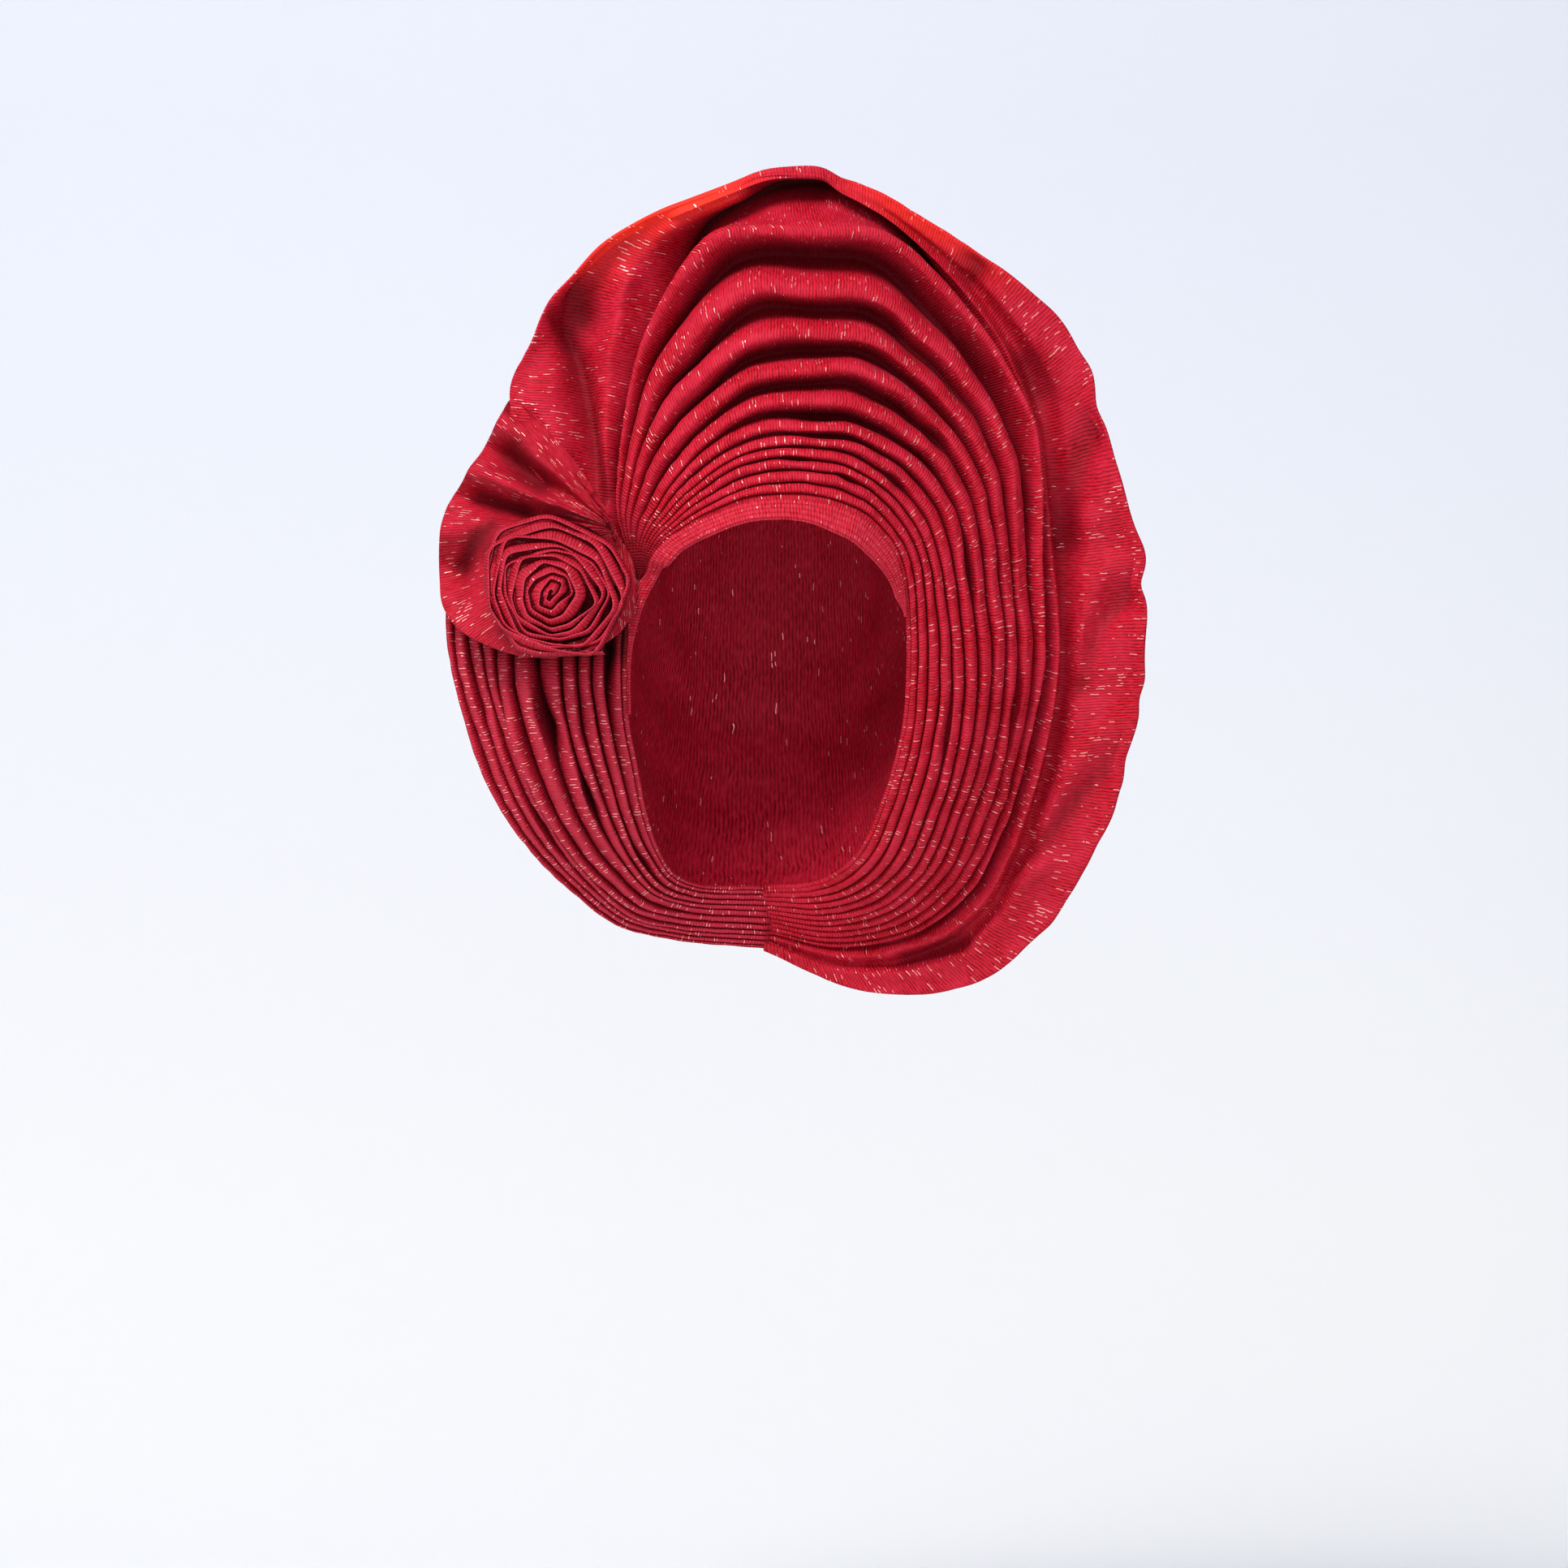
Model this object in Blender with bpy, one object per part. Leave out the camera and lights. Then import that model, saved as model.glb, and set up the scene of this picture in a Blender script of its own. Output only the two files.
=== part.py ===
# Tied gele head tie: pleated cloth pieces in metres, +Z up, the wearer faces -Y.
# The origin is the crown of the head, where the cap bears on it.

import math

import bmesh
import bpy
import numpy as np
from mathutils import Vector
from mathutils.bvhtree import BVHTree

# Driving sizes in metres
RIM_TO_NAPE = 0.400  # peak of the rim down to the edge at the nape
CROWN_TO_BACK = 0.100  # crown to the rearmost cloth, along Y
CAP_HALF_WIDTH = 0.079
CAP_HALF_HEIGHT = 0.092
ROSETTE_RADIUS = 0.0305
ROSETTE_STRIP = 0.026  # width of the rolled strip, back edge to front fold
ROSETTE_TURNS = 4

# Cloth walls
FAN_WALL = 0.0021
FAN_WALL_SHIFT = 0.0006  # carries the back face outward, so steep pleat faces keep their wall
BAND_WALL = 0.0016
CAP_WALL = 0.0018
DRAPE_WALL = 0.0018
ROSETTE_WALL = 0.0018

# Gap kept between pieces that touch
CLEARANCE = 0.0003

# Pleat profile, as shares of one pleat's spacing
STEEP_SHARE = 0.28  # the dark face towards the wearer's face
SHOULDER_SHARE = 0.5  # the shoulder on the gentle outer slope

CAP_TUCK = 0.0015  # how far the cap's edge tucks behind the fan's inner edge
BAND_TUCKS = 3
BAND_TUCK_RISE = 0.0006
BAND_LEAN = 0.45  # forward step for each unit of width
CAP_POLE = (0.0, 0.84, 0.55)  # direction from the head's middle to where the hood closes
CAP_FOLDS = 5
CAP_FOLD_RISE = 0.0012

EDGE_SAMPLES = (0.2, 0.4, 0.6, 0.8)  # places on each edge that are tried when a piece is seated

# How finely each cloth is divided
FAN_ROWS = 41
PANEL_ROWS = 15
BAND_ROWS = 33
CAP_RINGS = 9
DRAPE_ROWS = 34
DRAPE_COLUMNS = 3  # beyond the ring round the rosette
ROSETTE_STEPS = 18  # for each turn

# Radial sections of the fan, from the gather over the top and down to the nape. Inner is the
# edge at the band, crest the outermost sharp pleat, and rim the edge of the flare.
# x, z and band are hundredths of RIM_TO_NAPE; y, bulge and dish are hundredths of CROWN_TO_BACK.
# pleat is the pleat height for each unit of pleat spacing.
FAN_COLUMNS = ("inner_x", "inner_y", "inner_z", "crest_x", "crest_y", "crest_z",
               "rim_x", "rim_y", "rim_z", "pleat", "bulge", "dish", "band")
FAN_SECTIONS = (
    (-15.7, -36, -14.7, -16.6, -34, -15.0, -18.0, -31, -15.0, 0.20, 0, 0, 2.2),
    (-14.7, -44, -12.2, -17.8, -36, -10.7, -21.5, -30, -10.0, 0.30, 0, 0, 2.4),
    (-13.0, -49, -10.3, -18.7, -36, -6.7, -25.5, -28, -5.5, 0.45, 1, 1, 2.4),
    (-11.0, -53, -9.0, -18.4, -36, -2.0, -29.5, -26, -1.0, 0.55, 2, 3, 2.3),
    (-9.2, -57, -8.0, -17.2, -36, 5.0, -32.2, -26, 6.6, 0.60, 3, 6, 2.3),
    (-7.0, -60, -7.1, -15.0, -36, 12.5, -29.8, -30, 12.8, 0.60, 3, 8, 2.2),
    (-4.5, -63, -6.2, -11.0, -37, 19.5, -25.5, -34, 21.2, 0.60, 2, 9, 2.2),
    (-2.7, -65, -5.7, -8.2, -38, 23.3, -19.8, -38, 26.8, 0.60, 1, 8, 2.3),
    (-0.5, -66, -5.4, -5.0, -38, 26.2, -13.3, -42, 30.6, 0.60, 0, 6, 2.4),
    (2.0, -67, -5.3, -0.5, -39, 27.7, -4.5, -45, 33.6, 0.60, 0, 4, 2.5),
    (5.0, -68, -5.5, 5.0, -40, 27.5, 3.0, -47, 35.3, 0.60, 0, 3, 2.8),
    (8.0, -67, -6.2, 12.5, -38, 26.2, 12.0, -45, 32.8, 0.60, 0, 4, 3.2),
    (11.0, -64, -7.4, 20.0, -34, 20.2, 22.5, -40, 26.9, 0.60, 1, 5, 3.3),
    (13.5, -59, -9.5, 27.1, -28, 11.9, 34.0, -34, 17.5, 0.65, 2, 7, 3.1),
    (15.3, -54, -12.0, 30.8, -24, 4.0, 39.6, -30, 8.7, 0.68, 4, 9, 2.5),
    (16.3, -49, -15.0, 31.8, -20, -3.5, 42.5, -27, -2.0, 0.72, 6, 11, 1.6),
    (16.8, -42, -19.5, 32.2, -16, -13.5, 45.8, -24, -12.3, 0.75, 8, 13, 0.8),
    (16.9, -34, -25.0, 32.8, -11, -23.5, 45.6, -20, -23.5, 0.75, 9, 13, 0),
    (16.3, -20, -33.5, 31.4, 0, -34.5, 44.3, -10, -34.5, 0.75, 10, 12, 0),
    (14.0, -2, -42.0, 28.6, 16, -44.5, 40.2, 6, -46.7, 0.75, 9, 9, 0),
    (11.2, 16, -48.5, 24.5, 34, -53.0, 34.3, 26, -57.5, 0.70, 6, 6, 0),
    (8.0, 35, -51.5, 17.5, 50, -58.5, 24.0, 44, -65.4, 0.65, 4, 4, 0),
    (4.8, 47, -52.8, 8.5, 62, -60.3, 12.0, 58, -66.0, 0.55, 2, 2, 0),
    (-1.0, 54, -53.2, -1.0, 68, -59.3, -1.0, 66, -62.5, 0.40, 0, 0, 0),
)
BAND_FAN_COUNT = 17  # the fan sections that carry the band

# Folds of the fan: each row is one crest, and each column a place along the fan.
# FOLD_PLACES gives the section of each column. Shares run from the inner edge to the outer crest.
FOLD_PLACES = (0, 4, 6, 10, 13, 17, 19, 23)
PLEAT_CRESTS = (
    (0.05, 0.05, 0.03, 0.03, 0.03, 0.03, 0.03, 0.04),
    (0.14, 0.14, 0.07, 0.08, 0.08, 0.10, 0.12, 0.13),
    (0.23, 0.23, 0.12, 0.14, 0.13, 0.18, 0.21, 0.22),
    (0.32, 0.32, 0.17, 0.19, 0.18, 0.27, 0.31, 0.32),
    (0.42, 0.42, 0.23, 0.25, 0.26, 0.36, 0.41, 0.42),
    (0.52, 0.52, 0.30, 0.32, 0.34, 0.46, 0.51, 0.52),
    (0.62, 0.62, 0.37, 0.41, 0.46, 0.57, 0.60, 0.61),
    (0.71, 0.71, 0.45, 0.54, 0.60, 0.67, 0.69, 0.71),
    (0.81, 0.80, 0.56, 0.67, 0.70, 0.77, 0.79, 0.80),
    (0.90, 0.90, 0.77, 0.83, 0.83, 0.88, 0.89, 0.90),
    (1.00, 1.00, 1.00, 1.00, 1.00, 1.00, 1.00, 1.00),
)
SHOULDERS_FROM = 4  # the narrow inner pleats have no shoulder

# Soft folds of the flare beyond the outer crest: shares from that crest to the rim, and rises
# in hundredths of CROWN_TO_BACK at the same places.
FLARE_FOLDS = (
    (0.16, 0.06, 0.16, 0.66, 0.14, 0.08, 0.11, 0.15),
    (0.35, 0.19, 0.50, 0.86, 0.28, 0.16, 0.21, 0.30),
    (0.60, 0.38, 0.86, 0.92, 0.48, 0.36, 0.36, 0.50),
    (0.80, 0.64, 0.94, 0.96, 0.68, 0.56, 0.55, 0.70),
)
FLARE_RISES = (
    (0.0, -4, -5, -6, -5, -4, -4, -1),
    (0.2, 3, 2, 3, 3, 3, 3, 1),
    (0.0, -3, -3, 2, -2, -3, -4, -1),
    (0.2, 3, 0, 1, 2, 3, 4, 1),
)

# Sections of the side panel, from behind the rosette down to the nape, in the fan's units
PANEL_COLUMNS = ("inner_x", "inner_y", "inner_z", "rim_x", "rim_y", "rim_z", "pleat", "bulge",
                 "band")
PANEL_SECTIONS = (
    (-16.8, -33, -15.7, -40.2, -4, -15.7, 0.40, 1, 2.2),
    (-17.7, -31, -22.5, -40.1, -3, -22.5, 0.55, 4, 0.7),
    (-17.8, -22, -31.5, -37.9, 0, -31.7, 0.70, 10, 0.6),
    (-16.7, -10, -38.0, -35.0, 6, -40.0, 0.70, 10, 0),
    (-15.7, 4, -43.5, -31.0, 16, -46.7, 0.70, 8, 0),
    (-14.2, 20, -48.3, -25.1, 32, -53.1, 0.65, 6, 0),
    (-12.2, 34, -51.5, -18.8, 46, -58.0, 0.60, 4, 0),
    (-9.5, 44, -52.8, -12.9, 56, -59.5, 0.50, 2, 0),
    (-1.2, 54, -53.2, -1.2, 66, -60.7, 0.40, 0, 0),
)
BAND_PANEL_COUNT = 3  # the panel sections that carry the band
PANEL_PLACES = (0, 2, 4, 8)
PANEL_CRESTS = (
    (0.04, 0.04, 0.04, 0.05),
    (0.12, 0.13, 0.13, 0.14),
    (0.21, 0.22, 0.22, 0.23),
    (0.30, 0.31, 0.31, 0.32),
    (0.38, 0.40, 0.40, 0.41),
    (0.52, 0.56, 0.54, 0.53),
    (0.64, 0.67, 0.66, 0.64),
    (0.74, 0.75, 0.75, 0.74),
    (0.83, 0.82, 0.82, 0.82),
    (0.91, 0.90, 0.90, 0.91),
    (0.98, 0.98, 0.98, 0.98),
)

# The drape around the rosette, by direction from the rosette's middle: degrees from +X towards
# +Z, the reach of its edge in hundredths of RIM_TO_NAPE, and the depths of its hollow middle
# and its edge in hundredths of CROWN_TO_BACK.
ROSETTE_CENTRE = (-26.0, -16.0)  # x and z, hundredths of RIM_TO_NAPE
DRAPE_FIELDS = ("degrees", "reach", "ring_y", "edge_y")
DRAPE_SECTIONS = (
    (0, 9.2, -13, -11),
    (20, 9.4, -15, -13),
    (45, 9.8, -17, -14),
    (61, 11.4, -18, -12),
    (77, 14.0, -18, -9),
    (90, 17.8, -17, -5),
    (98, 21.2, -16, -1),
    (105, 23.9, -15, 4),
    (109, 22.4, -14, 5),
    (117, 20.1, -13, 7),
    (130, 18.1, -12, 11),
    (144, 17.3, -11, 16),
    (159, 15.9, -10, 20),
    (173, 15.0, -10, 22),
    (189, 14.4, -10, 21),
    (201, 13.3, -11, 14),
    (217, 11.3, -12, 2),
    (237, 9.9, -13, -8),
    (264, 9.2, -14, -12),
    (288, 9.2, -14, -13),
    (313, 9.4, -14, -13),
    (332, 9.6, -13, -12),
    (348, 9.4, -13, -11),
)
# The foot, the slope and the crest of the drape's ring, as shares of the rosette's radius
DRAPE_RING_SHARES = (1.09, 1.13, 1.17)
# Folds of the drape that fan out from the gather: direction in degrees, rise in hundredths of
# CROWN_TO_BACK.
DRAPE_GATHER = (-18.5, -9.0)  # x and z, hundredths of RIM_TO_NAPE
DRAPE_FOLDS = ((110, 0), (131, 1), (139, 3), (147, -4), (158, 4), (167, -5), (179, 3), (193, -4),
               (212, 2), (240, 0))
FOLD_REACH = 11  # hundredths of RIM_TO_NAPE from the gather to full fold depth

# The rosette: its core lies off its middle, and it domes forward
ROSETTE_CORE = (-27.2, -17.2)  # x and z, hundredths of RIM_TO_NAPE
CORE_RADIUS = 0.0045
ROSETTE_DOME = 0.010  # how far the inner coils stand in front of the outer one
ROSETTE_FLARE = 0.0012  # how far a coil's front fold leans outward
# Across the strip, back edge to front fold: share of its width, and share of the lean
STRIP_PROFILE = ((0.0, 0.0), (0.5, 0.2), (0.9, 0.8), (1.0, 1.0))
FOLD_TAPER = 0.6  # the front fold's thickness, as a share of the wall
ROSETTE_CORNERS = 5
CORNER_SHARE = 0.035  # how far the folded corners stand out, as a share of the radius

# Cloth colours and finish
FAN_COLOUR = (0.45, 0.011, 0.035, 1)
BAND_COLOUR = (0.62, 0.022, 0.055, 1)
CAP_COLOUR = (0.30, 0.008, 0.022, 1)
CLOTH_ROUGHNESS = 0.62
SHARP_DEGREES = 50  # folds sharper than this are shaded as edges


def clear_scene():
    for thing in list(bpy.data.objects):
        bpy.data.objects.remove(thing, do_unlink=True)


def cloth_material(name, colour):
    material = bpy.data.materials.new(name)
    material.use_nodes = True
    shader = material.node_tree.nodes["Principled BSDF"]
    shader.inputs["Base Color"].default_value = colour
    shader.inputs["Roughness"].default_value = CLOTH_ROUGHNESS
    shader.inputs["Metallic"].default_value = 0
    return material


def smooth_through(knots, values, at):
    """A smooth curve through the values at the knots, read at other places."""
    knots, values = np.asarray(knots, float), np.asarray(values, float)
    slopes = np.gradient(values, knots, axis=0)
    low = np.clip(np.searchsorted(knots, at, side="right") - 1, 0, len(knots) - 2)
    span = knots[low + 1] - knots[low]
    t = (at - knots[low]) / span
    if values.ndim > 1:
        t, span = t[:, None], span[:, None]
    start, end = values[low], values[low + 1]
    return (start * (1 + 2 * t) * (1 - t) ** 2 + slopes[low] * span * t * (1 - t) ** 2
            + end * t ** 2 * (3 - 2 * t) + slopes[low + 1] * span * t ** 2 * (t - 1))


def read_sections(columns, rows):
    """The rows of a section table as points and lengths in metres."""
    flat, deep = RIM_TO_NAPE / 100, CROWN_TO_BACK / 100
    scales = {"x": flat, "z": flat, "band": flat, "reach": flat, "y": deep, "bulge": deep,
              "dish": deep}
    table = np.array(rows, float)
    return table * [scales.get(name.split("_")[-1], 1) for name in columns]


def unit(vectors):
    return vectors / np.linalg.norm(vectors, axis=-1, keepdims=True)


def spaced_stations(lines):
    """The distance along the middle of several lines, from one section to the next."""
    steps = np.mean([np.linalg.norm(np.diff(line, axis=0), axis=1) for line in lines], axis=0)
    return np.concatenate([[0], np.cumsum(steps)])


def wave(start, end, share):
    """A rise or fall between two heights that starts and ends level."""
    return start + (end - start) * (1 - np.cos(math.pi * share)) / 2


def pleat_columns(crests, heights, shoulders_from):
    """Where the valleys, crests and shoulders lie across one section, with their heights."""
    edges = np.concatenate([[0], crests])
    valleys = crests - STEEP_SHARE * np.diff(edges)
    places, rises = [0.0], [0.0]
    for k, crest in enumerate(crests):
        places += [valleys[k], crest]
        rises += [0.0, heights[k]]
        if k >= shoulders_from and k + 1 < len(crests):
            places.append(crest + SHOULDER_SHARE * (valleys[k + 1] - crest))
            rises.append(wave(heights[k], 0, SHOULDER_SHARE))
    return places, rises


def flare_columns(folds, rises, crest_height, last_height=0.0):
    """The soft folds between the outer crest and the rim, with a point between each two."""
    knots = np.concatenate([[0], folds, [1]])
    heights = np.concatenate([[crest_height], rises, [last_height]])
    places, levels = [], []
    for k in range(len(knots) - 1):
        for share in (0.5, 1.0):
            places.append(knots[k] + share * (knots[k + 1] - knots[k]))
            levels.append(wave(heights[k], heights[k + 1], share))
    return places, levels


def grid_normals(grid):
    """Directions out of the cloth, towards the viewer, and outward across it."""
    across = np.gradient(grid, axis=1)
    along = np.gradient(grid, axis=0)
    normals = unit(np.cross(unit(along), unit(across)))
    normals *= np.where(normals[:, :, 1:2] > 0, -1, 1)
    return normals, unit(across)


def sheet_object(name, front, offsets, material):
    """A closed cloth body: the front face extruded by an offset at each point."""
    rows, columns = front.shape[:2]
    cloth = bmesh.new()
    offset_of = cloth.verts.layers.float_vector.new("offset")
    points = []
    for place, offset in zip(front.reshape(-1, 3), offsets.reshape(-1, 3)):
        point = cloth.verts.new(place)
        point[offset_of] = offset
        points.append(point)
    for i in range(rows - 1):
        here, there = i * columns, (i + 1) * columns
        for j in range(columns - 1):
            cloth.faces.new([points[k] for k in (here + j, here + j + 1, there + j + 1, there + j)])
    pulled = bmesh.ops.extrude_face_region(cloth, geom=cloth.faces[:], use_keep_orig=True)
    for item in pulled["geom"]:
        if isinstance(item, bmesh.types.BMVert):
            item.co += item[offset_of]
    bmesh.ops.triangulate(cloth, faces=cloth.faces[:])
    bmesh.ops.recalc_face_normals(cloth, faces=cloth.faces[:])
    return mesh_object(name, cloth, material)


def mesh_object(name, cloth, material):
    mesh = bpy.data.meshes.new(name)
    cloth.to_mesh(mesh)
    cloth.free()
    mesh.materials.append(material)
    mesh.shade_smooth()
    mesh.set_sharp_from_angle(angle=math.radians(SHARP_DEGREES))
    thing = bpy.data.objects.new(name, mesh)
    bpy.context.scene.collection.objects.link(thing)
    return thing


def fan_sections(rows):
    """The fan's section values and fold shares at evenly spaced rows."""
    table = read_sections(FAN_COLUMNS, FAN_SECTIONS)
    stations = spaced_stations([table[:, 0:3], table[:, 3:6]])
    at = np.linspace(0, stations[-1], rows)
    marks = stations[list(FOLD_PLACES)]
    crests = smooth_through(marks, np.array(PLEAT_CRESTS).T, at)
    folds = smooth_through(marks, np.array(FLARE_FOLDS).T, at)
    rises = smooth_through(marks, np.array(FLARE_RISES).T, at) * CROWN_TO_BACK / 100
    return smooth_through(stations, table, at), crests, folds, rises


def fan_object(material):
    sections, crests, folds, rises = fan_sections(FAN_ROWS)
    base, lifts = [], []
    for row, crest, fold, rise in zip(sections, crests, folds, rises):
        inner, outer, rim = row[0:3], row[3:6], row[6:9]
        pleat, bulge, dish = row[9:12]
        spacing = np.diff(np.concatenate([[0], crest])) * np.linalg.norm(outer - inner)
        heights = pleat * spacing
        places, levels = pleat_columns(crest, heights, SHOULDERS_FROM)
        flare_places, flare_levels = flare_columns(fold, rise, heights[-1])
        shares = np.array(places)[:, None]
        pleated = inner + (outer - inner) * shares
        pleated[:, 1] -= bulge * (4 * shares * (1 - shares))[:, 0]
        shares = np.array(flare_places)[:, None]
        flare = outer + (rim - outer) * shares
        flare[:, 1] += dish * (4 * shares * (1 - shares))[:, 0]
        base.append(np.concatenate([pleated, flare]))
        lifts.append(np.concatenate([levels, flare_levels]))
    base, lifts = np.array(base), np.array(lifts)[:, :, None]
    normals, across = grid_normals(base)
    offsets = across * FAN_WALL_SHIFT - normals * FAN_WALL
    return sheet_object("pleated_fan", base + normals * lifts, offsets, material)


def panel_sections(rows):
    table = read_sections(PANEL_COLUMNS, PANEL_SECTIONS)
    stations = spaced_stations([table[:, 0:3], table[:, 3:6]])
    at = np.linspace(0, stations[-1], rows)
    crests = smooth_through(stations[list(PANEL_PLACES)], np.array(PANEL_CRESTS).T, at)
    return smooth_through(stations, table, at), crests


def panel_object(material):
    sections, crests = panel_sections(PANEL_ROWS)
    base, lifts = [], []
    for row, crest in zip(sections, crests):
        inner, rim = row[0:3], row[3:6]
        pleat, bulge = row[6:8]
        spacing = np.diff(np.concatenate([[0], crest])) * np.linalg.norm(rim - inner)
        places, levels = pleat_columns(crest, pleat * spacing, len(crest))
        shares = np.array(places + [1.0])[:, None]
        line = inner + (rim - inner) * shares
        line[:, 1] -= bulge * (4 * shares * (1 - shares))[:, 0]
        base.append(line)
        lifts.append(levels + [0.0])
    base, lifts = np.array(base), np.array(lifts)[:, :, None]
    normals, across = grid_normals(base)
    offsets = across * FAN_WALL_SHIFT - normals * FAN_WALL
    return sheet_object("side_pleats", base + normals * lifts, offsets, material)


def band_object(material):
    """The band lies against the fan's and the panel's inner edges."""
    fan = read_sections(FAN_COLUMNS, FAN_SECTIONS)[:BAND_FAN_COUNT]
    panel = read_sections(PANEL_COLUMNS, PANEL_SECTIONS)[BAND_PANEL_COUNT - 1::-1]
    edge = np.concatenate([panel[:, 0:3], fan[:, 0:3]])
    inward = np.concatenate([panel[:, 0:3] - panel[:, 3:6], fan[:, 0:3] - fan[:, 3:6]])
    inward[:, 1] = 0
    inward = unit(inward)
    widths = np.concatenate([panel[:, 8], fan[:, 12]])
    stations = spaced_stations([edge])
    at = np.linspace(0, stations[-1], BAND_ROWS)
    edge = smooth_through(stations, edge, at)
    inward = unit(smooth_through(stations, inward, at))
    widths = smooth_through(stations, widths, at)
    lean = unit(inward + np.array([0, -BAND_LEAN, 0]))
    steps = np.linspace(0, 1, 2 * BAND_TUCKS + 1)
    shares = steps[None, :, None]
    start = edge + inward * CLEARANCE
    base = start[:, None] + lean[:, None] * widths[:, None, None] * shares
    normals, across = grid_normals(base)
    tuck = BAND_TUCK_RISE * np.sin(math.pi * BAND_TUCKS * steps) ** 2
    lifts = np.minimum(widths[:, None] / (2 * BAND_TUCKS), tuck[None, :])[:, :, None]
    return sheet_object("front_band", base + normals * lifts, -normals * BAND_WALL, material)


def cap_object(material):
    """A hood over the crown and the back of the head, hung behind the face opening's edge."""
    fan = fan_sections(FAN_ROWS)[0][1:-1:2]
    panel = panel_sections(PANEL_ROWS)[0][::-1][1::2]
    loop = np.concatenate([fan[:, 0:3], panel[:, 0:3]])
    outward = np.concatenate([fan[:, 3:6], panel[:, 3:6]]) - loop
    loop = loop + unit(outward) * CAP_TUCK + np.array([0, FAN_WALL + CLEARANCE, 0])
    centre = np.array([0, 0, -CAP_HALF_HEIGHT])
    radii = np.array([CAP_HALF_WIDTH, CROWN_TO_BACK, CAP_HALF_HEIGHT + CAP_WALL])
    scaled = (loop - centre) / radii
    reach = np.linalg.norm(scaled, axis=1)[:, None, None]
    pole = unit(np.array(CAP_POLE))
    start = unit(scaled)[:, None]
    turn = np.arccos(start @ pole)[:, :, None]
    shares = np.linspace(0, 1, CAP_RINGS + 1)[None, :-1, None]
    direction = (np.sin((1 - shares) * turn) * start + np.sin(shares * turn) * pole) / np.sin(turn)
    grown = 1 + (reach - 1) * (1 - shares) ** 2
    front = centre + radii * direction * grown
    around = np.roll(front, -1, axis=0) - np.roll(front, 1, axis=0)
    normals = unit(np.cross(around, np.gradient(front, axis=1)))
    normals *= np.sign(np.sum(normals * (front - centre), axis=-1, keepdims=True))
    folds = np.sin(math.pi * shares) * np.sin(2 * math.pi * CAP_FOLDS * shares) * CAP_FOLD_RISE
    tip = pole * radii + centre
    return hood_object("head_cap", front + normals * folds, normals, CAP_WALL, tip, pole, material)


def hood_object(name, front, normals, wall, tip, tip_normal, material):
    """A closed shell of rings that meet at a tip."""
    rows, columns = front.shape[:2]
    cloth = bmesh.new()
    sides = []
    for depth in (0, wall):
        points = [cloth.verts.new(p) for p in (front - normals * depth).reshape(-1, 3)]
        peak = cloth.verts.new(tip - tip_normal * depth)
        sides.append((points, peak))
        for i in range(rows):
            here, there = i * columns, (i + 1) % rows * columns
            for j in range(columns - 1):
                cloth.faces.new([points[k] for k in
                                 (here + j, here + j + 1, there + j + 1, there + j)])
            cloth.faces.new([points[here + columns - 1], peak, points[there + columns - 1]])
    outer, inner = sides[0][0], sides[1][0]
    for i in range(rows):
        here, there = i * columns, (i + 1) % rows * columns
        cloth.faces.new([outer[here], outer[there], inner[there], inner[here]])
    bmesh.ops.triangulate(cloth, faces=cloth.faces[:])
    bmesh.ops.recalc_face_normals(cloth, faces=cloth.faces[:])
    return mesh_object(name, cloth, material)


def drape_object(material):
    """A dish of cloth round the rosette, with folds that fan out from the gather."""
    table = read_sections(DRAPE_FIELDS, DRAPE_SECTIONS)
    first = table[0].copy()
    first[0] = 360
    table = np.vstack([table, first])
    angles = np.linspace(0, 360, DRAPE_ROWS, endpoint=False)
    reach, ring_y, edge_y = smooth_through(table[:, 0], table[:, 1:], angles).T[:, :, None]
    turn = np.radians(angles)[:, None]
    foot, slope, ring = ROSETTE_RADIUS * np.array(DRAPE_RING_SHARES)
    fall = np.concatenate([np.linspace(1, 0, DRAPE_COLUMNS + 1), [0, 0]])
    climb = np.concatenate([np.ones(DRAPE_COLUMNS + 1), [0.5, 0]])
    near = np.concatenate([np.full(DRAPE_COLUMNS + 1, ring), [slope, foot]])
    radius = near + (reach - ring) * fall
    depth = wave(0, 1, climb) * ring_y + wave(0, 1, fall) * (edge_y - ring_y)
    x, z = radius * np.cos(turn), radius * np.sin(turn)
    unit_length = RIM_TO_NAPE / 100
    gather = (np.array(DRAPE_GATHER) - np.array(ROSETTE_CENTRE)) * unit_length
    away_x, away_z = x - gather[0], z - gather[1]
    way = np.degrees(np.arctan2(away_z, away_x)) % 360
    folds = np.array(DRAPE_FOLDS, float)
    rise = np.interp(way, folds[:, 0], folds[:, 1]) * CROWN_TO_BACK / 100
    growth = np.clip(np.hypot(away_x, away_z) / (FOLD_REACH * unit_length), 0, 1) ** 2
    depth = depth - rise * growth * np.sin(math.pi / 2 * climb)
    front = np.stack([x, depth, z], axis=-1)
    around = np.roll(front, -1, axis=0) - np.roll(front, 1, axis=0)
    normals = unit(np.cross(around, np.gradient(front, axis=1)))
    forward = np.array([0.0, -1.0, 0.0])
    normals *= np.where(normals[:, :, 1:2] > 0, -1, 1)
    middle = np.zeros(3)
    drape = hood_object("rosette_drape", front, normals, DRAPE_WALL, middle, forward, material)
    drape.location = (ROSETTE_CENTRE[0] * unit_length, 0, ROSETTE_CENTRE[1] * unit_length)
    return drape


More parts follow.
